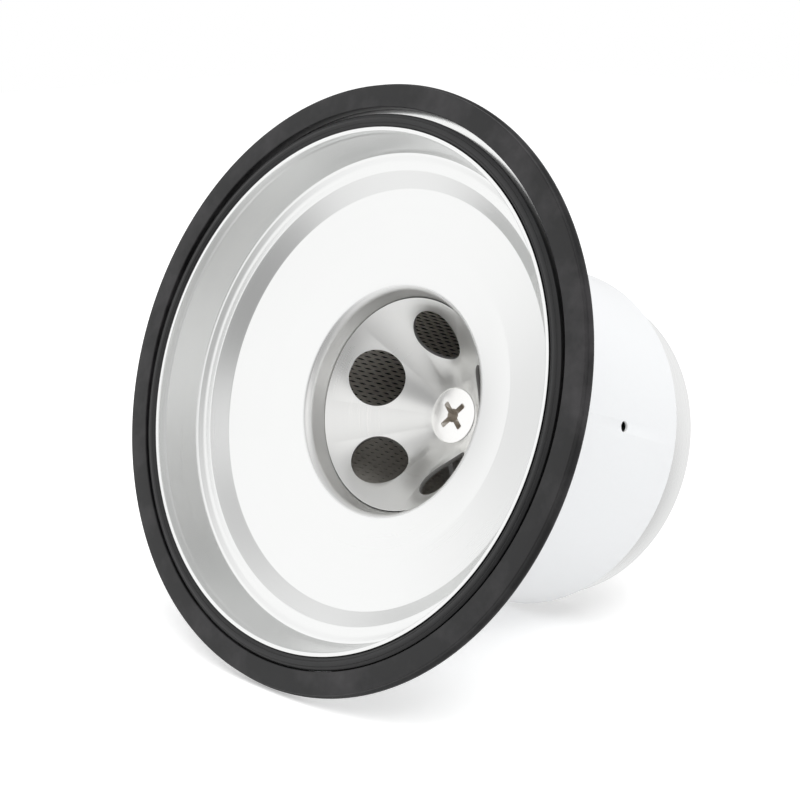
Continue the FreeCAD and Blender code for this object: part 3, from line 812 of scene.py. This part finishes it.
HEAD_PROUD, PLAIN_LENGTH, THREAD_FROM = 0.15, 10.5, 11.0
head_r = SCREW_HEAD_R + HEAD_PROUD - 0.05
shank_r = SCREW_SHANK_R - RUNNING_GAP
screw = turn("cross_head_screw", [
    (0, HEAD_FACE - HEAD_PROUD, 0), (head_r, HEAD_FACE - HEAD_PROUD, 0.15),
    (SCREW_SHANK_R - SEAT_GAP / 2, HEAD_FACE + SCREW_HEAD_R - SCREW_SHANK_R, 0.1),
    (shank_r, HEAD_FACE + SCREW_HEAD_R - SCREW_SHANK_R + 1, 0.1),
    (shank_r, HEAD_FACE + PLAIN_LENGTH, 0.2),
    (shank_r - 0.8, HEAD_FACE + PLAIN_LENGTH + 0.8, 0.1), (0, HEAD_FACE + PLAIN_LENGTH + 0.8, 0),
], screw_steel, steps=128)
cut(screw, cross_tool())
outward(screw.data, 40)


def in_recess(middle, _normal):
    """True inside the recess, which narrows as it goes down: these faces get wear and painted shade."""
    sunk = up(HEAD_FACE) / MM - middle.z
    below_face = -HEAD_PROUD + 0.04 < sunk < RECESS_DEPTH + 0.1
    return below_face and middle.xy.length < RECESS_SPAN / 2 + 0.3 - sunk * 0.5


print("recess faces:", paint(screw.data, recess_wear_and_shade, in_recess))
screw_thread = threaded(
    "screw_thread", HEAD_FACE + SCREW_LENGTH, SCREW_LENGTH - THREAD_FROM, shank_r, screw_steel)
join(screw, screw_thread)
show(screw, "cone_screw", "screw")
print("screw:", len(screw.data.polygons), "faces")

# %% [markdown]
# ## The can and its end band
#
# The can is a white enamelled tube with a narrow flange at its open end and one small bleed hole.
# The end band is bare aluminium: it plugs into the can, tapers, and ends in a lip turned inwards.

# %% Can
CAN_R, CAN_WALL, CAN_FLANGE_W = 48.6, 0.8, 3.4
CAN_FLANGE = (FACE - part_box("can")[1].z) / MM
BAND_START, BAND_END_R, BAND_SHEET, BAND_LIP, BAND_SPIGOT = 85.9, 45.4, 1.0, 2.4, 6.0
HOLE_R, HOLE_DEPTH, HOLE_ANGLE = 1.5, 61.0, 279.0
CAN_END = FACE / MM
can_outline = [(CAN_R, BAND_START, 0), (CAN_R, CAN_FLANGE + CAN_WALL, 1.0),
               (CAN_R + CAN_FLANGE_W, CAN_FLANGE + CAN_WALL, 0)]
can = turn("enamelled_can", can_outline + beside(can_outline, -CAN_WALL)[::-1], white_enamel, steps=384)
spoke_out = Vector((math.cos(math.radians(HOLE_ANGLE)), math.sin(math.radians(HOLE_ANGLE)), 0))
hole_middle = spoke_out * CAN_R * MM + Vector((0, 0, up(HOLE_DEPTH)))
cut(can, rod("drill", hole_middle - spoke_out * 3 * MM, hole_middle + spoke_out * 3 * MM, HOLE_R * MM, 48))
AROUND_HOLE = 2.5 * MM
roll_edges(can.data, ROLLED_LIP, lambda edge: (edge.verts[0].co - hole_middle).length < AROUND_HOLE)
outward(can.data, 40)
show(can, "can", "canister")

taper = (CAN_R - BAND_END_R) / (CAN_END - BAND_START)
band_wall = BAND_SHEET * math.hypot(1, taper)
spigot_r = CAN_R - CAN_WALL - RUNNING_GAP
bore_r = spigot_r - CAN_WALL
taper_top = CAN_END - (bore_r + band_wall - BAND_END_R) / taper
band = turn("tapered_end_band", [
    (spigot_r, BAND_START - BAND_SPIGOT, 0.1), (spigot_r, BAND_START, 0.05), (CAN_R, BAND_START, 0.25),
    (BAND_END_R, CAN_END, 0.6), (BAND_END_R - BAND_LIP, CAN_END, 0.15),
    (BAND_END_R - BAND_LIP, CAN_END - BAND_SHEET, 0.15),
    (BAND_END_R - band_wall, CAN_END - BAND_SHEET, 0.3),
    (bore_r, taper_top, 1.0), (bore_r, BAND_START - BAND_SPIGOT, 0.1),
], band_metal, steps=384)
show(band, "end_band", "canister")

# %% [markdown]
# ## Expanded metal
#
# The cartridge's two sleeves are expanded metal: a sheet slit in staggered rows and pulled, so
# that it becomes strands that zigzag along the axis and meet.  Each strand here is a ribbon with
# four sides.  Its middle line steps from side to side, flat where it meets its neighbour, and the
# next strand is its mirror image, so the two always meet.  The slitting also twists the strands,
# which is why such a mesh looks louvred.  One mirrored pair is made, then repeated round the axis.

# %% Expanded metal tree
POINTS_PER_DIAMOND = 8
expanded, expanded_in, expanded_end = new_tree(
    "expanded_metal", Bottom="Float", Height="Float", Radius="Float", Pairs="Int",
    Diamonds="Int", Width="Float", Thickness="Float", Twist="Float", Material="Material")
strand_rows = maths(expanded, "MULTIPLY_ADD", expanded_in["Diamonds"], POINTS_PER_DIAMOND, 1)
strand = add(expanded, "GeometryNodeMeshGrid", {"Vertices X": strand_rows, "Vertices Y": 5})
strand_row, ribbon_point = grid_place(expanded, 5)
corner = maths(expanded, "FLOORED_MODULO", ribbon_point, 4)
wide = maths(expanded, "SUBTRACT", maths(expanded, "COMPARE", corner, 1.5, 0.6), 0.5)
deep = maths(expanded, "SUBTRACT", maths(expanded, "GREATER_THAN", corner, 1.5), 0.5)
cycle = maths(expanded, "DIVIDE", strand_row, POINTS_PER_DIAMOND)
sideways = add(expanded, "ShaderNodeMapRange", {
    "Value": maths(expanded, "PINGPONG", cycle, 0.5), "From Min": 0.1, "From Max": 0.4,
    "To Min": -0.5, "To Max": 0.5}).outputs[0]
half_turn = maths(expanded, "DIVIDE", math.pi, expanded_in["Pairs"])
strand_turn = maths(expanded, "DIVIDE", expanded_in["Width"], expanded_in["Radius"])
reach = maths(expanded, "MULTIPLY", sideways, maths(expanded, "SUBTRACT", half_turn, strand_turn))
edge = maths(expanded, "MULTIPLY", wide, strand_turn)
shell_r = maths(expanded, "MULTIPLY_ADD", deep, expanded_in["Thickness"], expanded_in["Radius"])
strand_r = maths(expanded, "MULTIPLY_ADD", wide, expanded_in["Twist"], shell_r)
strand_z = maths(expanded, "MULTIPLY_ADD", maths(
    expanded, "DIVIDE", cycle, expanded_in["Diamonds"]), expanded_in["Height"], expanded_in["Bottom"])
pair = add(expanded, "GeometryNodeJoinGeometry")
for mirrored in (False, True):
    middle = maths(expanded, "SUBTRACT", half_turn, reach) if mirrored else reach
    strand_angle = maths(expanded, "ADD", middle, edge)
    laid = wrap(expanded, strand.outputs["Mesh"], strand_r, strand_angle, strand_z)
    expanded.links.new(laid, pair.inputs[0])
pairs_round = add(expanded, "GeometryNodeGroup", node_tree=circle)
expanded.links.new(pair.outputs[0], pairs_round.inputs["Geometry"])
expanded.links.new(expanded_in["Pairs"], pairs_round.inputs["Count"])
closed_sleeve = sew(expanded, pairs_round.outputs[0], 2 * SEW)
end_tree(expanded, closed_sleeve, expanded_in["Material"], expanded_end)
print("expanded metal tree:", len(expanded.nodes), "nodes")

# %% [markdown]
# ## The cartridge
#
# Top to bottom: a foam-rubber seal ring, a pressed cap, the inner mesh, the pleated media, the
# outer mesh, the lower cap, and a grommet where the cartridge slips over the tie nut.

# %% Mesh sleeves
CORE_CLEARANCE, SLEEVE_CLEARANCE, MESH_WALL = 3.44, 4.3, 0.6
CAP_SHEET, CAP_LIP, CAP_LIP_WALL, GLUE = 1.0, 4.0, 0.8, 0.05
core_r = COLLAR_R + THICK + CORE_CLEARANCE
sleeve_r = CAN_R - CAN_WALL - SLEEVE_CLEARANCE
media_low, media_high = (corner_place.z / MM for corner_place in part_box("pleated_media"))
ROW_PITCH, ROWS_OF_DIAMONDS, STRAND_WIDTH, STRAND_SHEET, STRAND_TWIST = 1.15, 13, 0.95, 0.26, 0.28
for node, outer_r, metal in (("core_mesh", core_r, mesh_steel), ("sleeve_mesh", sleeve_r, guard_steel)):
    middle_r = outer_r - MESH_WALL / 2
    sleeve = grow(
        node + "_strands", expanded, Bottom=media_low * MM, Height=(media_high - media_low) * MM,
        Radius=middle_r * MM, Pairs=round(math.pi * middle_r / ROW_PITCH), Diamonds=ROWS_OF_DIAMONDS,
        Width=STRAND_WIDTH * MM, Thickness=STRAND_SHEET * MM, Twist=STRAND_TWIST * MM, Material=metal)
    show(sleeve, node, "cartridge")

# %% [markdown]
# The media is one long strip of charcoal paper folded to and fro.  Looked at from above it is a
# wave with tight rounded folds: a sine whose arcsine is taken again has straight flanks and round
# crests.

# %% Pleated media
PLEATS, POINTS_PER_PLEAT = 60, 14
pleats, pleats_in, pleats_end = new_tree(
    "pleats", Bottom="Float", Height="Float", Inner="Float", Outer="Float", Paper="Float",
    Pleats="Int", Material="Material")
fold_columns = maths(pleats, "MULTIPLY_ADD", pleats_in["Pleats"], POINTS_PER_PLEAT, 1)
FOLD_ROWS = 5
fold_grid = add(pleats, "GeometryNodeMeshGrid", {"Vertices X": FOLD_ROWS, "Vertices Y": fold_columns})
fold_row, fold_column = grid_place(pleats, fold_columns)
round_share = maths(pleats, "DIVIDE", fold_column, maths(pleats, "SUBTRACT", fold_columns, 1))
round_angle = maths(pleats, "MULTIPLY", round_share, 2 * math.pi)
ROUNDNESS = 0.97
fold_wave = maths(pleats, "DIVIDE", maths(pleats, "ARCSINE", maths(pleats, "MULTIPLY", maths(
    pleats, "SINE", maths(pleats, "MULTIPLY", round_angle, pleats_in["Pleats"])), ROUNDNESS)),
    2 * math.asin(ROUNDNESS))
free_width = maths(pleats, "SUBTRACT", pleats_in["Outer"], pleats_in["Inner"])
span = maths(pleats, "SUBTRACT", free_width, pleats_in["Paper"])
mid_r = maths(pleats, "MULTIPLY", maths(pleats, "ADD", pleats_in["Outer"], pleats_in["Inner"]), 0.5)
fold_r = maths(pleats, "MULTIPLY_ADD", fold_wave, span, mid_r)
looped = maths(pleats, "FLOORED_MODULO", fold_row, 4)
on_top = maths(pleats, "COMPARE", looped, 1.5, 0.6)
on_outside = maths(pleats, "SUBTRACT", 0.5, maths(pleats, "GREATER_THAN", looped, 1.5))
paper_r = maths(pleats, "MULTIPLY_ADD", on_outside, pleats_in["Paper"], fold_r)
paper_z = maths(pleats, "MULTIPLY_ADD", on_top, pleats_in["Height"], pleats_in["Bottom"])
folded = wrap(pleats, fold_grid.outputs["Mesh"], paper_r, round_angle, paper_z)
end_tree(pleats, sew(pleats, folded), pleats_in["Material"], pleats_end)

PLEAT_GAP, PAPER = 0.6, 0.75
media = grow(
    "folded_media", pleats, sharp_degrees=50, Bottom=media_low * MM, Height=(media_high - media_low) * MM,
    Inner=(core_r + PLEAT_GAP) * MM, Outer=(sleeve_r - MESH_WALL - PLEAT_GAP) * MM,
    Paper=PAPER * MM, Pleats=PLEATS, Material=filter_paper)
show(media, "pleated_media", "cartridge")

# %% [markdown]
# The caps are pressed dishes potted round the ends of the sleeves; the seals are plain rings
# with moulded corners.  All of them are turned, so the lathe makes them too.

# %% Caps and seals


def floor_underside(r):
    """Depth of the underside of the pan's floor, two cones that meet at the crease, at a radius."""
    slope = outer_slope if r > CREASE_R else inner_slope
    return crease - (r - CREASE_R) * slope + THICK * math.hypot(1, slope)


cap_top = (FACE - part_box("top_cap")[1].z) / MM
cap_bottom = (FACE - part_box("bottom_cap")[0].z) / MM - CAP_SHEET
core_in = core_r - MESH_WALL
lip_end = cap_top + CAP_SHEET + CAP_LIP
top_cap = turn("pressed_top_cap", [
    (core_in - GLUE - CAP_LIP_WALL, cap_top, 0.5), (core_in - GLUE - CAP_LIP_WALL, lip_end, 0.2),
    (core_in - GLUE, lip_end, 0.2), (core_in - GLUE, cap_top + CAP_SHEET, 0.1),
    (sleeve_r + GLUE, cap_top + CAP_SHEET, 0.1), (sleeve_r + GLUE, lip_end, 0.2),
    (sleeve_r + GLUE + CAP_LIP_WALL, lip_end, 0.2), (sleeve_r + GLUE + CAP_LIP_WALL, cap_top, 0.9),
], cap_steel)
show(top_cap, "top_cap", "cartridge")

TIE_NUT_R, GROMMET_FLANGE, GROMMET_LIP = 7.5, 2.0, 1.2
grommet_bore = TIE_NUT_R + RUNNING_GAP
cap_hole = grommet_bore + GROMMET_FLANGE
rib_r = (cap_hole + sleeve_r) / 2
bottom_cap = turn("pressed_bottom_cap", [
    (cap_hole, cap_bottom, 0.2), (rib_r - 4, cap_bottom, 0.8), (rib_r - 2.6, cap_bottom + 0.6, 0.8),
    (rib_r + 2.6, cap_bottom + 0.6, 0.8), (rib_r + 4, cap_bottom, 0.8),
    (sleeve_r + GLUE, cap_bottom, 0.1), (sleeve_r + GLUE, cap_bottom - CAP_LIP, 0.2),
    (sleeve_r + GLUE + CAP_LIP_WALL, cap_bottom - CAP_LIP, 0.2),
    (sleeve_r + GLUE + CAP_LIP_WALL, cap_bottom + CAP_SHEET, 0.9), (cap_hole, cap_bottom + CAP_SHEET, 0.2),
], cap_steel)
show(bottom_cap, "bottom_cap", "cartridge")

grommet = turn("stud_grommet_ring", [
    (grommet_bore, cap_bottom - GROMMET_LIP, 0.5), (grommet_bore, cap_bottom + CAP_SHEET + GROMMET_LIP, 0.5),
    (cap_hole + GROMMET_LIP, cap_bottom + CAP_SHEET + GROMMET_LIP, 0.5),
    (cap_hole + GROMMET_LIP, cap_bottom + CAP_SHEET, 0.1), (cap_hole, cap_bottom + CAP_SHEET, 0.1),
    (cap_hole, cap_bottom, 0.1), (cap_hole + GROMMET_LIP, cap_bottom, 0.1),
    (cap_hole + GROMMET_LIP, cap_bottom - GROMMET_LIP, 0.5),
], seal_rubber, steps=96)
show(grommet, "stud_grommet", "cartridge")

top_seal = turn("cartridge_seal", [
    (core_in, floor_underside(core_in) + SEAT_GAP, 0.3), (core_in, cap_top, 0.15), (sleeve_r, cap_top, 0.15),
    (sleeve_r, floor_underside(sleeve_r) + SEAT_GAP, 0.6),
], seal_rubber)
show(top_seal, "top_seal", "cartridge")

can_gasket = turn("can_flange_gasket", [
    (CAN_R - CAN_WALL - 1, floor_underside(CAN_R - CAN_WALL - 1) + GLUE, 0.2),
    (CAN_R - CAN_WALL - 1, CAN_FLANGE, 0.2), (CAN_R + CAN_FLANGE_W, CAN_FLANGE, 0.3),
    (CAN_R + CAN_FLANGE_W, floor_underside(CAN_R + CAN_FLANGE_W) + GLUE, 0.3),
], gasket_rubber)
show(can_gasket, "can_gasket", "pan_unit")

# %% [markdown]
# ## The inlet grille and what hangs on it
#
# A drilled plate closes the can's end.  Its holes stand in three circles, so the ring tree makes
# all the drills.  A stud through the middle carries the long tie nut that the cone screw pulls on.

# %% Inlet grille
GRILLE_UP, GRILLE_SHEET, GRILLE_HOLE_R, GRILLE_MARGIN, GRILLE_PITCH = 10.9, 1.2, 3.5, 7.6, 9.5
GRILLE = CAN_END - GRILLE_UP
HOLES_IN_CIRCLES = (24, 18, 9)
grille_r = BAND_END_R + (GRILLE_UP - GRILLE_SHEET) * taper - band_wall - RUNNING_GAP
grille = turn("drilled_inlet_grille", [
    (SCREW_SHANK_R + RUNNING_GAP, GRILLE, 0.1), (SCREW_SHANK_R + RUNNING_GAP, GRILLE + GRILLE_SHEET, 0.1),
    (grille_r, GRILLE + GRILLE_SHEET, 0.3), (grille_r, GRILLE, 0.3),
], band_metal)
drill_half = Vector((0, 0, 2 * MM))
for inwards, count in enumerate(HOLES_IN_CIRCLES):
    circle_r = grille_r - GRILLE_MARGIN - inwards * GRILLE_PITCH
    hole_at = Vector((circle_r * MM, 0, up(GRILLE + GRILLE_SHEET / 2)))
    drill = rod("drill", hole_at - drill_half, hole_at + drill_half, GRILLE_HOLE_R * MM, 40)
    around(drill, count, 0, None)
    cut(grille, drill)
roll_edges(grille.data, 0.15, lambda edge: all(
    15 * MM < v.co.xy.length < (grille_r - 1) * MM for v in edge.verts), segments=1)
outward(grille.data, 40)
show(grille, "inlet_grille", "canister")
print("grille:", len(grille.data.polygons), "faces")

# %% [markdown]
# The snap ring is a bent wire with a gap.  Curve nodes make it directly: an arc, and a small
# circle swept along it.

# %% Snap ring
RING_WIRE_R = 0.8
snap, snap_in, snap_end = new_tree(
    "snap_ring", Radius="Float", Wire="Float", Level="Float", Material="Material")
bow = add(snap, "GeometryNodeCurveArc", {
    "Resolution": 160, "Radius": snap_in["Radius"], "Start Angle": math.radians(3.5),
    "Sweep Angle": math.radians(353)})
wire_section = add(snap, "GeometryNodeCurvePrimitiveCircle", {"Resolution": 14, "Radius": snap_in["Wire"]})
swept = add(snap, "GeometryNodeCurveToMesh", {
    "Curve": bow.outputs[0], "Profile Curve": wire_section.outputs[0], "Fill Caps": True})
raised = add(snap, "GeometryNodeTransform", {
    "Geometry": swept.outputs[0],
    "Translation": add(snap, "ShaderNodeCombineXYZ", {"Z": snap_in["Level"]}).outputs[0]})
end_tree(snap, raised.outputs[0], snap_in["Material"], snap_end)
snap_ring = grow(
    "snap_ring", snap, Radius=(bore_r - RUNNING_GAP - RING_WIRE_R) * MM, Wire=RING_WIRE_R * MM,
    Level=up(GRILLE - RING_WIRE_R), Material=stud_steel)
show(snap_ring, "grille_ring", "canister")

# %% [markdown]
# ## The stud and its nuts
#
# The stud passes through the grille and is held there between a shoulder above and a washer and a
# hexagon nut below.  A long round nut on its top takes the cone screw.  The round pieces are
# turned, and the hexagon is turned too and then has its six flats milled off with a block, which
# leaves the curved chamfer that a real nut has.

# %% Stud, tie nut, washer and nut
STUD_SHOULDER_R, STUD_SHOULDER, STUD_BELOW, STUD_GAP, NUT_GAP = 9.0, 2.0, 8.4, 0.6, 0.4
stud_top = HEAD_FACE + SCREW_LENGTH + STUD_GAP
stud_bottom = GRILLE + GRILLE_SHEET + STUD_BELOW
stud = threaded("tie_stud_thread", stud_bottom, stud_bottom - stud_top, SCREW_SHANK_R, stud_steel)
shoulder = turn("stud_shoulder", [
    (0, GRILLE - STUD_SHOULDER, 0), (STUD_SHOULDER_R, GRILLE - STUD_SHOULDER, 0.4),
    (STUD_SHOULDER_R, GRILLE, 0.2), (0, GRILLE, 0)], stud_steel, steps=96)
show(join(stud, shoulder), "tie_stud", "canister")

THREAD_IN_NUT = 10.4
nut_top = HEAD_FACE + SCREW_LENGTH - THREAD_IN_NUT
tie_nut = turn("long_tie_nut", [
    (SCREW_SHANK_R, nut_top + 0.8, 0), (SCREW_SHANK_R, GRILLE - STUD_SHOULDER - NUT_GAP, 0),
    (TIE_NUT_R, GRILLE - STUD_SHOULDER - NUT_GAP, 0.6), (TIE_NUT_R, nut_top, 0.8),
    (SCREW_SHANK_R + 0.8, nut_top, 0.1),
], stud_steel, steps=96)
show(tie_nut, "tie_nut", "canister")

WASHER_R, WASHER, NUT_FLATS, NUT_HEIGHT = 8.0, 1.4, 13.0, 5.6
under_grille = GRILLE + GRILLE_SHEET
washer = turn("stud_washer_ring", [
    (SCREW_SHANK_R + RUNNING_GAP, under_grille, 0.1),
    (SCREW_SHANK_R + RUNNING_GAP, under_grille + WASHER, 0.1),
    (WASHER_R, under_grille + WASHER, 0.3), (WASHER_R, under_grille, 0.3)], stud_steel, steps=96)
show(washer, "stud_washer", "canister")

nut_from, nut_to = under_grille + WASHER, under_grille + WASHER + NUT_HEIGHT
nut_corner_r = NUT_FLATS / math.sqrt(3)
stud_nut = turn("hexagon_nut", [
    (SCREW_SHANK_R, nut_from, 0), (SCREW_SHANK_R, nut_to, 0), (NUT_FLATS / 2 - 0.1, nut_to, 0.1),
    (nut_corner_r + 0.05, nut_to - 0.65, 0.1), (nut_corner_r + 0.05, nut_from + 0.65, 0.1),
    (NUT_FLATS / 2 - 0.1, nut_from, 0.1)], stud_steel, steps=96)
BLOCK = 10.0
for side_number in range(6):
    flat_turn = math.radians(30 + 60 * side_number)
    outwards = Vector((math.cos(flat_turn), math.sin(flat_turn), 0))
    at = outwards * (NUT_FLATS / 2 + BLOCK / 2) * MM + Vector((0, 0, up((nut_from + nut_to) / 2)))
    turned_out = Matrix.Translation(at) @ Matrix.Rotation(flat_turn, 4, "Z")
    block = bmesh.new()
    bmesh.ops.create_cube(block, size=BLOCK * MM, matrix=turned_out)
    block_mesh = bpy.data.meshes.new("flat_cutter")
    block.to_mesh(block_mesh)
    block.free()
    cutter = bpy.data.objects.new("flat_cutter", block_mesh)
    scene.collection.objects.link(cutter)
    cut(stud_nut, cutter)
outward(stud_nut.data, 30)
show(stud_nut, "stud_nut", "canister")
print("hexagon nut:", len(stud_nut.data.polygons), "faces")

# %% [markdown]
# ## The retainer and the buffers
#
# A nylon washer on the screw's shank keeps the screw in the funnel when the funnel is lifted out.
# Three rubber buffers on the grille carry the cartridge: one is turned off the axis, where the
# lathe's shift puts it, and the ring tree repeats it.

# %% Retainer and buffers
RETAINER_R, RETAINER, SCREW_TRAVEL = 7.0, 1.0, 12.0
retainer_top = cone_bottom + SCREW_TRAVEL + 0.5
retainer = turn("screw_retainer_washer", [
    (SCREW_SHANK_R, retainer_top, 0.1), (SCREW_SHANK_R, retainer_top + RETAINER, 0.1),
    (RETAINER_R, retainer_top + RETAINER, 0.3), (RETAINER_R, retainer_top, 0.3)], nylon, steps=96)
show(retainer, "screw_retainer", "retainer_washer")

BUFFER_R, BUFFER_HEIGHT, BUFFER_CIRCLE_R, BUFFER_COUNT = 4.0, 5.5, 24.7, 3
buffers = turn("rubber_buffer", [
    (0, GRILLE - BUFFER_HEIGHT, 0), (BUFFER_R, GRILLE - BUFFER_HEIGHT, 0.5),
    (BUFFER_R, GRILLE, 0.5), (0, GRILLE, 0)], gasket_rubber, shift=BUFFER_CIRCLE_R * MM, steps=48)
around(buffers, BUFFER_COUNT, 10, gasket_rubber)
outward(buffers.data)
show(buffers, "rubber_buffers", "canister")

# %% [markdown]
# ## Floor and light
#
# The housing lies on a white surface, touching it with the gasket's lower edge and the edge of
# the can's end.  In the model's frame that surface is a tilted plane.  It is white to the camera
# and shows the soft shadow of the object, but reflections don't see it: metal shows the studio
# instead.  Seen from behind it vanishes, so that other views aren't blocked.

# %% Floor
TILT = math.radians(19.58)
floor_normal = Vector((math.cos(TILT), 0, math.sin(TILT)))
FLOOR_REACH, FLOOR_SIZE, FLOOR_GLOW = -42.85 * MM, 1.6, 0.36
floor_data = bmesh.new()
bmesh.ops.create_grid(floor_data, x_segments=1, y_segments=1, size=FLOOR_SIZE)
floor_mesh = bpy.data.meshes.new("white_floor")
floor_data.to_mesh(floor_mesh)
floor_data.free()
white_floor = bpy.data.objects.new("white_floor", floor_mesh)
scene.collection.objects.link(white_floor)
white_floor.matrix_world = (
    Matrix.Translation(floor_normal * FLOOR_REACH)
    @ Vector((0, 0, 1)).rotation_difference(floor_normal).to_matrix().to_4x4())

backdrop, tree, diffuse = new_material("white_backdrop", (0.85, 0.85, 0.85), 1.0)
diffuse.inputs["Specular IOR Level"].default_value = 0.0
diffuse.inputs["Emission Color"].default_value = (1, 1, 1, 1)
diffuse.inputs["Emission Strength"].default_value = FLOOR_GLOW
see_through = add(tree, "ShaderNodeBsdfTransparent")
side_seen = add(tree, "ShaderNodeNewGeometry").outputs["Backfacing"]
one_sided = add(tree, "ShaderNodeMixShader", {
    0: side_seen, 1: diffuse.outputs[0], 2: see_through.outputs[0]})
tree.links.new(one_sided.outputs[0], tree.nodes["Material Output"].inputs["Surface"])
floor_mesh.materials.append(backdrop)
white_floor.visible_glossy = False
print(f"floor {math.degrees(TILT):.1f} degrees off upright, {-FLOOR_REACH / MM:.1f} mm from the origin")

# %% [markdown]
# Metal shows the room it stands in.  The studio is a mid grey room with soft patches: a white
# wall behind the object with a low shade at its foot, a pale side wall, a lit panel, a dark gap
# between them, and a pale table below.  The world node tree lays them one over another by
# direction.  Only reflections see them: the camera sees plain white, and matt surfaces get one
# even level, so the patches give the metal its shape without colouring anything else.

# %% World
world = bpy.data.worlds.new("studio")
scene.world = world
world.use_nodes = True
sky = world.node_tree
background = sky.nodes["Background"]
outlook = add(sky, "ShaderNodeTexCoord").outputs["Generated"]
ROOM_GREY = 0.58
room = ROOM_GREY


def compass(azimuth, elevation):
    """A unit vector from two angles in degrees."""
    level, rise = math.radians(azimuth), math.radians(elevation)
    return (math.cos(level) * math.cos(rise), math.sin(level) * math.cos(rise), math.sin(rise))


STUDIO = (
    # name, azimuth, elevation, angle where it starts, angle where it is full, brightness
    ("side_wall", 165, 28, 64, 24, 0.88),
    ("dark_gap", -128, 56, 48, 14, 0.38),
    ("lit_panel", -58, 46, 34, 12, 0.95),
    ("pale_table", 60, -62, 50, 30, 0.92),
    ("white_wall", 88, 48, 52, 30, 1.07),
    ("low_shade", 90, 17, 13, 5, 0.72),
)
for name, azimuth, elevation, starts, full, brightness in STUDIO:
    towards = add(sky, "ShaderNodeVectorMath", {
        0: outlook, 1: compass(azimuth, elevation)}, operation="DOT_PRODUCT")
    towards.label = name
    share = add(sky, "ShaderNodeMapRange", {
        "Value": towards.outputs["Value"], "From Min": math.cos(math.radians(starts)),
        "From Max": math.cos(math.radians(full))}, interpolation_type="SMOOTHSTEP").outputs[0]
    mixed = add(sky, "ShaderNodeMix", {0: share}, data_type="FLOAT")
    if isinstance(room, float):
        mixed.inputs[2].default_value = room
    else:
        sky.links.new(room, mixed.inputs[2])
    mixed.inputs[3].default_value = brightness
    room = mixed.outputs[0]
path = add(sky, "ShaderNodeLightPath").outputs
MATT_LEVEL = 0.62
reflected = maths(sky, "MAXIMUM", path["Is Glossy Ray"], path["Is Transmission Ray"])
seen = add(sky, "ShaderNodeMix", {0: reflected, 2: MATT_LEVEL, 3: room}, data_type="FLOAT").outputs[0]
level_now = add(sky, "ShaderNodeMix", {
    0: path["Is Camera Ray"], 2: seen, 3: 1.0}, data_type="FLOAT").outputs[0]
sky.links.new(level_now, background.inputs["Strength"])
background.inputs["Color"].default_value = (1, 1, 1, 1)
print("studio:", ", ".join(patch[0] for patch in STUDIO))

# %% [markdown]
# One large lamp above the object gives it a lit side, and the floor a shadow.  It is about as wide
# as it is far away, so the shadow's edge is soft, and it is hidden from reflections, where it
# would draw a hard square on every turned face.

# %% Lamps


def softbox(name, towards, distance, size, power):
    """A square lamp that shines at the object from a direction."""
    lamp = bpy.data.lights.new(name, "AREA")
    lamp.shape = "SQUARE"
    lamp.size = size
    lamp.energy = power
    holder = bpy.data.objects.new(name, lamp)
    scene.collection.objects.link(holder)
    middle_of_object = Vector((0, 0, FACE / 2))
    place = middle_of_object + towards.normalized() * distance
    turned_to = (middle_of_object - place).to_track_quat("-Z", "Y").to_matrix().to_4x4()
    holder.matrix_world = Matrix.Translation(place) @ turned_to
    return holder


LAMP_LEAN, LAMP_DISTANCE, LAMP_SIZE, LAMP_WATTS = Vector((0, -0.35, 0.25)), 2.4, 2.6, 60
key_light = softbox(
    "overhead_softbox", floor_normal + LAMP_LEAN, LAMP_DISTANCE, LAMP_SIZE, LAMP_WATTS)
key_light.visible_glossy = False
scene.view_settings.view_transform = "Standard"
print(f"lamp: {LAMP_SIZE} m across, {LAMP_DISTANCE} m away, {LAMP_WATTS} W")
